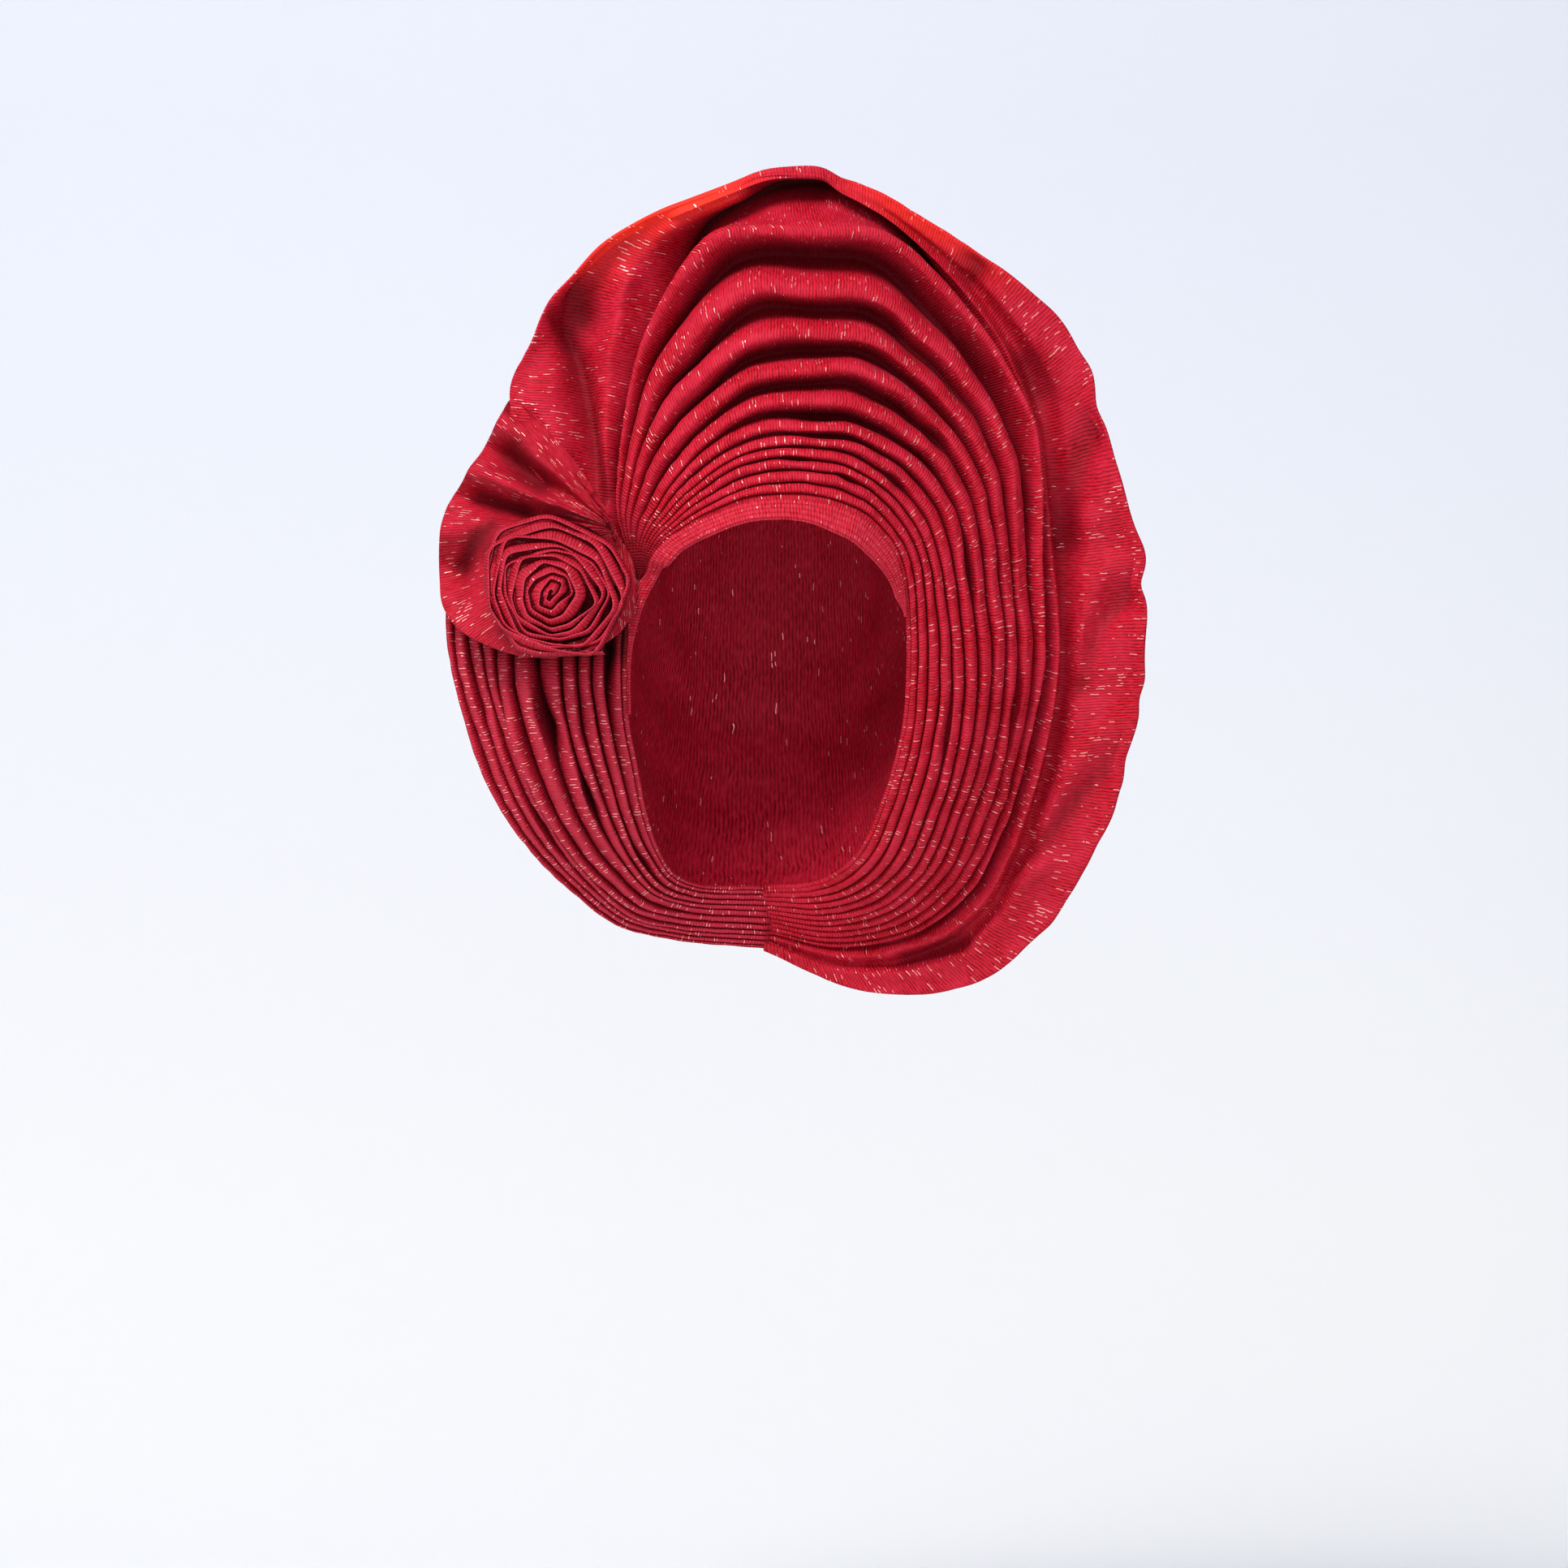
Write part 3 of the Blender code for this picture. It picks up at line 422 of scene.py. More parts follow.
fan = {
    "rows": 380,
    "flareColumns": (12, 12, 8, 6, 6),  # up to each fold, and on to the rim
    "endReach": 0.08,  # the pleats settle down this far before both ends
    "valleyDrop": 0.5,  # how far the valleys go behind the solid's, by pleat spacing
    "narrowDrop": 0.25,  # the same for the narrow inner pleats
    "wideFrom": 0.006,  # from this spacing on, in metres, a pleat counts as wide
    # unevenness: share of the pleat spacing, length along the fan in metres, seed
    "crestShift": (0.10, 0.045, 100),
    "slowing": 0.004,  # each pleat further out wanders more slowly than the last
    "crestKink": (0.06, 0.013, 130),
    "crestSwell": (0.18, 0.03, 200),
    "valleySwell": (0.35, 0.035, 250),
    "pleatGape": (0, 0.1, 0.2, 0.3, 0.35, 0.6, 0.8, 0.9, 1, 1, 1),  # from the band outward
    "flareDeepen": (1.0, 1.4, 1.7, 1.5),  # scales the flare's folds
    "creaseReach": 0.035,  # half width of the painted shade in the crease, by the flare's width how dark the painted shade is there, in the flare's other folds and in its dents
    "creaseShade": 0.8,  # how dark the dye is there, in the flare's other folds and in its dents
    "foldShade": 0.7,
    "dentShade": 0.62,
    "throatReach": 0.025,  # how far the painted shade at the gather reaches along the fan
    "ripple": (0.0003, 0.022, 0.006, 11),  # height, length, width and seed
    "rimFlutter": (0.0020, 0.07, 0.05, 12),
    "rimWaver": 0.0014,
    "paintedGlowAbove": 0.075,  # painted daylight, as if through the thin rim, is put above this height, to both sides of this place, and from here on to the left it is full
    "paintedGlowAside": 0.016,  # to both sides of this place,
    "paintedGlowLeftFrom": 0.03,  # and from here on to the left it is full
    "hemBack": 0.006,  # width of the turned hem
    "hemRoll": 0.0009,
    "innerTurn": 0.004,
    "innerRoll": 0.0011,
}
# How far the pleats gape along the fan: section number and share
gapes = ((0, 0.0), (4, 0.15), (6, 0.35), (8, 0.85), (9, 1.0), (11.5, 1.0), (13, 0.5), (14.5, 0.15),
         (16, 0.0), (24, 0.0))
# Soft creases and dents of the flare: points, rise and half width
flareCreases = (
    (((42.5, -12.5), (39.5, -17.0), (38.0, -22.0)), 3.5, 6),
    (((45.2, -14.8), (41.0, -20.5), (38.6, -28.0)), -6, 5),
    (((43.0, -21.0), (39.5, -26.0)), 3, 8),
    (((40.6, 4.9), (38.3, 0.3), (36.9, -10.1)), -5, 7),
    (((42.5, -1.0), (40.5, -7.0)), 4, 9),
    (((32.0, 11.0), (33.5, 8.0)), -4, 9),
    (((25.2, 25.0), (25.4, 22.5)), -5, 6),
    (((44.0, -32.0), (40.0, -36.5), (37.0, -40.0), (31.0, -47.5)), 4, 6),
    (((44.5, -34.0), (39.0, -40.5), (33.0, -48.5)), -5, 6),
    (((34.0, -50.0), (27.0, -54.5), (23.0, -57.5), (15.0, -60.0)), 4, 6),
    (((24.0, -60.0), (17.0, -61.8)), -5, 5),
    (((-26.5, 17.5), (-24.0, 12.5), (-22.8, 4.5), (-20.6, -5.0)), -6, 5),
    (((-23.8, 20.0), (-22.8, 17.5)), -6, 9),
    (((-18.0, 22.0), (-18.5, 16.5), (-19.3, 12.5)), 4, 6),
    (((-30.0, 10.0), (-26.0, 2.0)), 3, 9),
    (((-1.5, 33.2), (6.0, 32.6)), -8, 6),
)
# Notches (below nothing) and bulges of the rim: x and z, push in mm, reach in hundredths
rimNotches = ((45.4, -15.4, -3.2, 1.6), (45.8, -11.6, 1.6, 2.5), (40.2, 6.5, -2.0, 2.0),
              (38.6, 10.5, 1.5, 2.5), (-32.4, 6.8, -2.5, 1.8), (8.6, 34.4, -1.5, 1.5),
              (35.4, -47.0, 1.5, 4.0), (43.8, -37.0, -1.0, 3.0))
# Pleats that gape over the brow: pleat, section, sections either side, extra depth by spacing
gapingPleats = ((5, 10.4, 1.3, 0.7), (6, 10.2, 1.5, 0.7), (3, 9.4, 0.7, 0.5), (8, 9.5, 2.0, 0.2),
                (4, 12.6, 0.4, 0.3), (7, 12.9, 0.4, 0.2), (9, 17.6, 0.4, 0.2), (2, 11.2, 0.4, 0.4),
                (6, 15.6, 0.5, 0.3), (4, 17.9, 0.4, 0.3), (10, 13.5, 1.6, 0.5))

# One pleat from the last crest to its own: place across, and how much of the last crest, of the
# pleat's own crest and of the valley is felt there. Over the brow the pleats gape, and their lips
# overhang a dark hollow.
openPleat = (
    (0.00, 1.00, 0.00, 0.00),
    (0.05, 0.99, 0.00, 0.00),
    (0.11, 0.95, 0.00, 0.00),
    (0.18, 0.87, 0.00, 0.01),
    (0.27, 0.73, 0.00, 0.05),
    (0.37, 0.56, 0.00, 0.14),
    (0.48, 0.38, 0.00, 0.32),
    (0.59, 0.22, 0.00, 0.55),
    (0.70, 0.09, 0.00, 0.78),
    (0.80, 0.02, 0.00, 0.94),
    (0.880, 0.00, 0.02, 1.00),
    (0.925, 0.00, 0.10, 0.80),
    (0.935, 0.00, 0.30, 0.42),
    (0.918, 0.00, 0.52, 0.14),
    (0.895, 0.00, 0.70, 0.03),
    (0.880, 0.00, 0.84, 0.00),
    (0.895, 0.00, 0.93, 0.00),
    (0.940, 0.00, 0.98, 0.00),
)
# Elsewhere they are full, rounded ridges with a narrow crease between each two
ropePleat = (
    (0.00, 1.00, 0.00, 0.00),
    (0.08, 0.995, 0.00, 0.00),
    (0.17, 0.97, 0.00, 0.00),
    (0.26, 0.92, 0.00, 0.00),
    (0.35, 0.84, 0.00, 0.00),
    (0.44, 0.73, 0.00, 0.00),
    (0.52, 0.59, 0.00, 0.04),
    (0.59, 0.42, 0.00, 0.15),
    (0.65, 0.23, 0.00, 0.42),
    (0.69, 0.08, 0.00, 0.80),
    (0.715, 0.00, 0.02, 1.00),
    (0.735, 0.00, 0.14, 0.75),
    (0.742, 0.00, 0.36, 0.35),
    (0.750, 0.00, 0.56, 0.10),
    (0.775, 0.00, 0.72, 0.00),
    (0.820, 0.00, 0.86, 0.00),
    (0.875, 0.00, 0.95, 0.00),
    (0.940, 0.00, 0.99, 0.00),
)


def fromInnerEdge(crests):
    return np.concatenate([np.zeros_like(crests[:, :1]), crests], axis=1)


def livelyPleats(crests, pleat, width, at, ends, look):
    # crests wander, kink and swell a little along their length, and valleys are uneven
    def uneven(name, k, share=1.0, slowing=0.0):
        amount, step, seed = look[name]
        return amount * share * softLine(at, step + slowing * k, seed + k)

    spacing = np.diff(fromInnerEdge(crests), axis=1)
    for k in range(crests.shape[1] - 1):
        crests[:, k] += spacing[:, k] * ends * (uneven("crestShift", k, slowing=look["slowing"])
                                                + uneven("crestKink", k))
    spacing = np.diff(fromInnerEdge(crests), axis=1)
    heights, gaps = pleat * spacing * width, spacing * width
    wide = np.clip(gaps / look["wideFrom"] - 1, 0, 1)
    drops = gaps * (look["narrowDrop"] + (look["valleyDrop"] - look["narrowDrop"]) * wide)
    for k in range(crests.shape[1]):
        heights[:, k] *= 1 + uneven("crestSwell", k, ends)
        drops[:, k] *= 1 + uneven("valleySwell", k)
    return heights, gaps, drops


def pleatedSurface(crests, heights, drops, openness):
    # shares across and heights of one row of pleats, for every row at once
    edges, tall = fromInnerEdge(crests), fromInnerEdge(heights)
    shares, rises, depths = [], [], []
    for k in range(crests.shape[1]):
        weight = openness[:, k, None, None]
        profile = weight * np.array(openPleat) + (1 - weight) * np.array(ropePleat)
        span = edges[:, k + 1] - edges[:, k]
        shares.append(edges[:, k, None] + span[:, None] * profile[:, :, 0])
        rises.append(tall[:, k, None] * profile[:, :, 1] + tall[:, k + 1, None] * profile[:, :, 2]
                     - drops[:, k, None] * profile[:, :, 3])
        # painted shade in the valley; below nothing on a crest, where it gets a painted highlight
        # and more painted glints
        depths.append(profile[:, :, 3] - 0.5 * (profile[:, :, 1] + profile[:, :, 2]) ** 6)
    shares.append(edges[:, -1:])
    rises.append(tall[:, -1:])
    depths.append(np.zeros_like(edges[:, -1:]))
    return (np.concatenate(part, axis=1) for part in (shares, rises, depths))


def gapeBetween(pockets, number, gaps, drops, openness):
    # where single pleats part; each pocket: pleat, section, sections either side, extra depth
    for k, middle, spread, extra in pockets:
        near = np.exp(-((number - middle) / spread) ** 2)
        drops[:, k] += extra * gaps[:, k] * near
        openness[:, k] = np.maximum(openness[:, k], near)


def pressed(grid, creases):
    # ridges (rise above nothing) and dents (below) along short lines, as seen from the front;
    # points in hundredths of rimToNape, rise and half width in mm
    push = np.zeros(grid.shape[:2])
    for line, rise, width in creases:
        points = np.array(line, float) * acrossUnit
        nearest = np.full(push.shape, 1.0)
        for start, end in zip(points[:-1], points[1:]):
            along = end - start
            away = grid[:, :, 0::2] - start
            t = np.clip(away @ along / (along @ along), 0, 1)
            nearest = np.minimum(nearest, np.linalg.norm(away - t[:, :, None] * along, axis=-1))
        push += rise * 0.001 * np.exp(-(nearest / (width * 0.001)) ** 2)
    return push


def smoothNormals(grid, spread):
    across = np.gradient(grid, axis=1)
    along = np.gradient(grid, axis=0)
    normals = unit(np.cross(unit(along), unit(across)))
    normals *= np.where(normals[:, :, 1:2] > 0, -1, 1)
    wide = np.pad(normals, ((0, 0), (spread, spread), (0, 0)), mode="edge")
    total = sum(wide[:, k:k + normals.shape[1]] for k in range(2 * spread + 1))
    return unit(total)


def normalsAt(smoothGrid, smoothShares, shares):
    # normals of the unfolded surface, read at the folded columns' own places
    normals = smoothNormals(smoothGrid, 2)
    read = np.empty(shares.shape + (3,))
    for row in range(len(shares)):
        for axis in range(3):
            read[row, :, axis] = np.interp(shares[row], smoothShares, normals[row, :, axis])
    return unit(read)


def turnedHem(points, normals, outward, roll, back, steps=6):
    # extra columns that roll over the edge and lie behind it
    turns = np.linspace(0, math.pi, steps + 1)[1:]
    columns = [points + outward * roll * math.sin(t) - normals * roll * (1 - math.cos(t))
               for t in turns]
    for share in (0.33, 0.67, 1.0):
        columns.append(points - outward * back * share - normals * 2 * roll)
    return columns


def turnedEdges(grid, normals, outward, inward, look):
    # a rolled hem at the outer edge, and a short turn at the inner one
    hem = turnedHem(grid[:, -1], normals[:, -1], outward, look["hemRoll"], look["hemBack"])
    start = turnedHem(grid[:, 0], normals[:, 0], inward, look["innerRoll"], look["innerTurn"])
    return np.concatenate([np.stack(start[::-1], 1), grid, np.stack(hem, 1)], axis=1), len(start)


def pleatGroups(lead, count):
    # each pleat has its own running length along its ribs, from valley to valley
    perPleat, valley = len(openPleat), lead + 8
    starts = [valley + k * perPleat for k in range(count)]
    return [(0, valley, lead)] + [(first, first + perPleat, lead + (k + 1) * perPleat)
                                  for k, first in enumerate(starts)]


def makeFan():
    table, stations = placedSections(fanColumns, fanSections)
    at = np.linspace(0, stations[-1], fan["rows"])
    marks = stations[list(flarePlaces)]
    crests = smoothThrough(stations[list(pleatPlaces)], np.array(pleatCrests).T, at)
    folds = smoothThrough(marks, np.array(flareFolds).T, at)
    rises = smoothThrough(marks, np.array(flareRises).T, at) * deepUnit * fan["flareDeepen"]
    section = smoothThrough(stations, table, at)
    inner, outer, rim = section[:, 0:3], section[:, 3:6], section[:, 6:9]
    pleat, bulge, dish = section[:, 9:10], section[:, 10:11], section[:, 11:12]
    width = np.linalg.norm(outer - inner, axis=1, keepdims=True)
    ends = np.clip(np.minimum(at, at[-1] - at) / fan["endReach"], 0, 1)
    heights, gaps, drops = livelyPleats(crests, pleat, width, at, ends, fan)
    number = np.interp(at, stations, np.arange(len(stations)))
    places, shareOpen = np.array(gapes).T
    openness = np.interp(number, places, shareOpen)[:, None] * np.array(fan["pleatGape"])
    gapeBetween(gapingPleats, number, gaps, drops, openness)
    drops *= ends[:, None]
    shares, levels, depths = pleatedSurface(crests, heights, drops, openness)
    # the flare beyond the outer crest
    none = np.zeros_like(folds[:, :1])
    knots = np.concatenate([none, folds, none + 1], 1)
    steps = np.concatenate([  # the columns follow the folds, so that each crease is a clean line
        knots[:, [k]] + (knots[:, [k + 1]] - knots[:, [k]]) * np.arange(1, count + 1) / count
        for k, count in enumerate(fan["flareColumns"])], axis=1)
    tops = np.concatenate([heights[:, -1:], rises, none], 1)
    flareLevels = np.empty(steps.shape)
    for row in range(len(at)):
        k = np.clip(np.searchsorted(knots[row], steps[row], side="left") - 1, 0, 4)
        low, high = knots[row, k], knots[row, k + 1]
        share = np.clip((steps[row] - low) / (high - low), 0, 1)
        # a crisp crease beside the outer pleat, soft folds beyond it
        share = np.where(k == 0, share ** 2, np.where(k == 1, 1 - (1 - share) ** 2,
                                                      wave(0, 1, share)))
        flareLevels[row] = tops[row, k] + (tops[row, k + 1] - tops[row, k]) * share
    base = np.concatenate([bowedLines(inner, outer, shares, -bulge),
                           bowedLines(outer, rim, steps, dish)], axis=1)
    lift = np.concatenate([levels, flareLevels], axis=1)
    # normals of the unfolded cloth
    even = np.linspace(0, 1, 24)
    unfolded = np.concatenate([bowedLines(inner, outer, even, -bulge),
                               bowedLines(outer, rim, even[1:], dish)], axis=1)
    allShares = np.concatenate([shares, 1 + steps], axis=1)
    normals = normalsAt(unfolded, np.concatenate([even, 1 + even[1:]]), allShares)
    # small unevenness of the cloth, and a flutter towards the rim
    run, station = lengthAlong(base, 1), at[:, None]
    lift += ripples(station, run, fan["ripple"])
    towardsRim = np.clip((allShares - 1.35) / 0.65, 0, 1) * ends[:, None]
    lift += towardsRim * ripples(station, run, fan["rimFlutter"])
    beyond = np.clip((allShares - 1.03) / 0.1, 0, 1) * np.clip((2 - allShares) / 0.12, 0.1, 1)
    push = pressed(base, flareCreases) * beyond
    lift += push
    # painted shade in the flare, full in dents 6 mm deep, in folds 14 mm deep, and in the crease
    # where it is 10 mm deep
    paintedFlareShade = np.clip(-push / 0.006, 0, 1) * fan["dentShade"]
    crease = np.exp(-((steps - folds[:, :1]) / fan["creaseReach"]) ** 2)
    paintedFlareShade[:, shares.shape[1]:] += fan["foldShade"] * np.clip(-flareLevels / 0.014, 0, 1) ** 1.5
    paintedFlareShade[:, shares.shape[1]:] += (fan["creaseShade"] * crease
                                    * np.clip(-rises[:, :1] / 0.010, 0, 1))
    grid = base + normals * lift[:, :, None]
    # the rim wavers, and has single notches and bulges
    sideways = unit(rim - outer)[:, None]
    waver = fan["rimWaver"] * ends * (softLine(at, 0.022, 14) + 0.6 * softLine(at, 0.009, 15))
    waver = waver / ends.clip(0.05)
    grid = grid + sideways * (towardsRim * waver[:, None])[:, :, None]
    for x, z, push, reach in rimNotches:
        away = np.hypot(rim[:, 0] / acrossUnit - x, rim[:, 2] / acrossUnit - z)
        pull = push * 0.001 * np.exp(-(away / reach) ** 2)
        grid += sideways * (towardsRim ** 2 * pull[:, None])[:, :, None]
    grid, lead = turnedEdges(grid, normals, unit(grid[:, -1] - grid[:, -4]),
                             unit(grid[:, 0] - grid[:, 6]), fan)
    # ribs: the last pleat's go on over its crest, and the flare has its own
    groups = pleatGroups(lead, crests.shape[1])
    crestAt = lead + shares.shape[1] - 1
    groups.append((groups[-1][0], crestAt + 4, crestAt))
    groups.append((crestAt + 4, grid.shape[1] - 1, crestAt + 22))
    # painted shade: in the valleys (more where pleats are wide), in the flare's dents, folds and
    # crease, and at the gather
    depth = np.zeros(grid.shape[:2])
    depth[:, lead:lead + depths.shape[1]] = depths * np.clip(gaps.max(1) / 0.012, 0, 1)[:, None]
    depth[:, lead:lead + paintedFlareShade.shape[1]] += paintedFlareShade
    depth = np.maximum(depth, 0.9 * np.exp(-(at / fan["throatReach"]) ** 2)[:, None])
    # painted light: daylight through the thin rim, painted into its colour, most of it at the upper
    # left
    nearRim = np.clip((allShares - 1.5) / 0.5, 0, 1) ** 1.3
    high = np.clip((base[:, :, 2] - fan["paintedGlowAbove"]) / 0.04, 0, 1)
    high = high * np.clip(np.abs(base[:, :, 0] - fan["paintedGlowAside"]) / 0.03 - 0.4, 0, 1)
    paintedGlow = np.zeros(grid.shape[:2])
    last = lead + base.shape[1]
    paintedGlow[:, lead:last] = nearRim * high
    paintedGlow[:, last:] = paintedGlow[:, last - 1:last]
    paintedGlow *= 0.6 + 0.4 * np.clip(-grid[:, :, 0] / fan["paintedGlowLeftFrom"], 0, 1)
    return stripPiece("fanPleats", grid, ribCoordinates(grid, groups), lengthAlong(grid, 1),
                      ribbedMetalThreadCloth("ribbedMetalThreadFan", fanLook),
                      {"depth": depth * 0.8, "paintedGlow": paintedGlow})


fanPleats = makeFan()


# The side pleats below the rosette

panelLook = dict(fanLook, rib="#B00820", groove="#64000C", faded="#B01830", yarn="#BA2C44",
                 paintedGlow=None, dashChance=0.2)
panelColumns = ("inner_x", "inner_y", "inner_z", "rim_x", "rim_y", "rim_z", "pleat", "bulge",
                "band")
panelSections = (
    (-16.8, -33, -15.7, -40.2, -4, -15.7, 0.40, 1, 2.2),
    (-17.7, -31, -22.5, -40.1, -3, -22.5, 0.55, 4, 0.7),
    (-17.8, -22, -31.5, -37.9, 0, -31.7, 0.70, 10, 0.6),
    (-16.7, -10, -38.0, -35.0, 6, -40.0, 0.70, 10, 0),
    (-15.7, 4, -43.5, -31.0, 16, -46.7, 0.70, 8, 0),
    (-14.2, 20, -48.3, -25.1, 32, -53.1, 0.65, 6, 0),
    (-12.2, 34, -51.5, -18.8, 46, -58.0, 0.60, 4, 0),
    (-9.5, 44, -52.8, -12.9, 56, -59.5, 0.50, 2, 0),
    (-1.2, 54, -53.2, -1.2, 66, -60.7, 0.40, 0, 0),
)
panelPlaces = (0, 2, 4, 8)
panelCrests = (
    (0.04, 0.04, 0.04, 0.05),
    (0.12, 0.13, 0.13, 0.14),
    (0.21, 0.22, 0.22, 0.23),
    (0.30, 0.31, 0.31, 0.32),
    (0.38, 0.40, 0.40, 0.41),
    (0.52, 0.56, 0.54, 0.53),
    (0.64, 0.67, 0.66, 0.64),
    (0.74, 0.75, 0.75, 0.74),
    (0.83, 0.82, 0.82, 0.82),
    (0.91, 0.90, 0.90, 0.91),
    (0.98, 0.98, 0.98, 0.98),
)
panel = {
    "rows": 190,
    "endReach": 0.05,
    "valleyDrop": 0.36,
    "narrowDrop": 0.36,
    "wideFrom": 0.006,
    "crestShift": (0.14, 0.04, 300),  # as for the fan
    "slowing": 0.0,
    "crestKink": (0.05, 0.012, 330),
    "crestSwell": (0.28, 0.04, 400),
    "valleySwell": (0.5, 0.03, 350),
    "shadowReach": 0.013,
    "endTuck": ((0.003, 0.002, 0.0), (0.007, 0.005, 0.0)),  # the end slips behind the fan's
    "ripple": (0.0003, 0.02, 0.006, 21),
    "hemBack": 0.005,
    "hemRoll": 0.0009,
    "innerTurn": 0.004,
    "innerRoll": 0.0011,
}
# Where single pleats part: pleat, section, sections either side, extra depth by spacing
panelPockets = ((5, 2.15, 0.5, 1.1), (4, 3.5, 0.5, 1.5), (1, 1.1, 0.6, 1.2), (8, 3.9, 0.4, 0.3),
                (2, 5.2, 0.5, 0.4))
# The drape's lower edge, below which a shadow is painted on the panel: x and z, hundredths of
# rimToNape
drapeEdge = ((-39, -17), (-36.5, -20), (-34, -22), (-31, -23.4), (-27, -24.2), (-19, -23.8))


def makePanel():
    table, stations = placedSections(panelColumns, panelSections)
    at = np.linspace(0, stations[-1], panel["rows"])
    crests = smoothThrough(stations[list(panelPlaces)], np.array(panelCrests).T, at)
    section = smoothThrough(stations, table, at)
    inner, rim = section[:, 0:3], section[:, 3:6]
    pleat, bulge = section[:, 6:7], section[:, 7:8]
    width = np.linalg.norm(rim - inner, axis=1, keepdims=True)
    ends = np.clip(np.minimum(at, at[-1] - at) / panel["endReach"], 0, 1)
    heights, gaps, drops = livelyPleats(crests, pleat, width, at, ends, panel)
    openness = np.zeros_like(drops)
    number = np.interp(at, stations, np.arange(len(stations)))
    gapeBetween(panelPockets, number, gaps, drops, openness)
    drops *= np.clip(ends + 0.3, 0, 1)[:, None]
    shares, levels, depths = pleatedSurface(crests, heights, drops, openness)
    # from the last crest to the panel's edge
    last = np.linspace(0, 1, 5)[1:]
    shares = np.concatenate([shares, crests[:, -1:] + (1 - crests[:, -1:]) * last], axis=1)
    levels = np.concatenate([levels, wave(heights[:, -1:], 0.0, last[None])], axis=1)
    base = bowedLines(inner, rim, shares, -bulge)
    even = np.linspace(0, 1, 30)
    normals = normalsAt(bowedLines(inner, rim, even, -bulge), even, shares)
    levels += ripples(at[:, None], lengthAlong(base, 1), panel["ripple"])
    grid = base + normals * levels[:, :, None]
    outward = unit(rim - inner)
    grid, lead = turnedEdges(grid, normals, outward, -outward, panel)
    grid = np.concatenate([grid] + [grid[-1:] + step for step in panel["endTuck"]])
    groups = pleatGroups(lead, crests.shape[1])
    groups.append((groups[-1][0], grid.shape[1] - 1, groups[-1][2]))
    # painted shade in the valleys, and a painted shadow of the drape below its edge
    depth = np.zeros(grid.shape[:2])
    depth[:len(depths), lead:lead + depths.shape[1]] = depths * 0.8
    edgeX, edgeZ = np.array(drapeEdge).T * acrossUnit
    below = np.interp(grid[:, :, 0], edgeX, edgeZ) - grid[:, :, 2]
    depth += 0.9 * np.clip(1 - below / panel["shadowReach"], 0, 1) ** 1.5
    return stripPiece("sidePleatsCloth", grid, ribCoordinates(grid, groups), lengthAlong(grid, 1),
                      ribbedMetalThreadCloth("ribbedMetalThreadPanel", panelLook),
                      {"depth": depth})


sidePleatsCloth = makePanel()


# The band across the brow

bandLook = dict(fanLook, rib="#CC162E", groove="#8C0418", faded="#D62C42", yarn="#DC445A",
                paintedGlow=None, depth="#7A0416", dashChance=0.12, dashLength=1.6, ribDepth=0.35)
band = {
    "rows": 300,
    "fanSections": 17,
    "panelSections": 3,
    "clearance": 0.0003,
    "lean": 0.45,
    "tucks": 4,
    "tuckDepth": 0.0008,
    "endTaper": 0.012,
    "startTaper": 0.05,
    "wall": 0.0016,
    "columns": 48,
    "reachBack": 0.003,  # the edge beside the pleats turns back to them
    "turnShare": 0.2,
    "ripple": (0.00012, 0.01, 1 / 3, 31),  # height, length, share of the width, seed
}


def makeBand():
    fanPart = readSections(fanColumns, fanSections)[:band["fanSections"]]
    panelPart = readSections(panelColumns, panelSections)[band["panelSections"] - 1::-1]
    edge = np.concatenate([panelPart[:, 0:3], fanPart[:, 0:3]])
    inward = np.concatenate([panelPart[:, 0:3] - panelPart[:, 3:6],
                             fanPart[:, 0:3] - fanPart[:, 3:6]])
    inward[:, 1] = 0
    inward = unit(inward)
    widths = np.concatenate([panelPart[:, 8], fanPart[:, 12]])
    stations = spacedStations([edge])
    at = np.linspace(0, stations[-1], band["rows"])
    edge = smoothThrough(stations, edge, at)
    inward = unit(smoothThrough(stations, inward, at))
    widths = np.maximum(smoothThrough(stations, widths, at), 0.0012)
    widths *= np.clip((at[-1] - at) / band["endTaper"], 0.15, 1)
    widths *= np.clip(at / band["startTaper"], 0.3, 1)
    lean = unit(inward + np.array([0, -band["lean"], 0]))
    steps = np.linspace(0, 1, band["columns"])
    start = edge + inward * band["clearance"]
    base = start[:, None] + lean[:, None] * widths[:, None, None] * steps[None, :, None]
    base[:, :, 1] += band["reachBack"] * np.clip(1 - steps / band["turnShare"], 0, 1) ** 2
    normals = smoothNormals(base, 1)
    # sewn tucks: rounded ridges with a sharp groove between each two
    ridge = np.abs(np.sin(math.pi * band["tucks"] * steps)) ** 0.45
    deep = np.minimum(widths[:, None] / 12, band["tuckDepth"])
    lift = deep * ridge[None]
    lift += ripples(at[:, None], steps[None], band["ripple"])
    front = base + normals * lift[:, :, None]
    roll = band["wall"] / 2
    far = turnedHem(front[:, -1], normals[:, -1], lean, roll, 0.0, 5)[:5]
    near = turnedHem(front[:, 0], normals[:, 0], -lean, roll, 0.0, 5)[:5]
    back = (base - normals * band["wall"])[:, ::-6]
    grid = np.concatenate([front, np.stack(far, 1), back[:, 1:-1], np.stack(near[::-1], 1),
                           front[:, :1]], axis=1)
    grid[:, :, 1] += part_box("front_band")[0].y - grid[:, :, 1].min()
    ribs = ribCoordinates(grid, [(0, grid.shape[1] - 1, len(steps) // 2)])
    # painted shade in the grooves between the tucks
    depth = np.zeros(grid.shape[:2])
    depth[:, :len(steps)] = (1 - ridge) ** 2 * 0.8
    return stripPiece("browBand", grid, ribs, lengthAlong(grid, 1),
                      ribbedMetalThreadCloth("ribbedMetalThreadBand", bandLook), {"depth": depth})


browBand = makeBand()


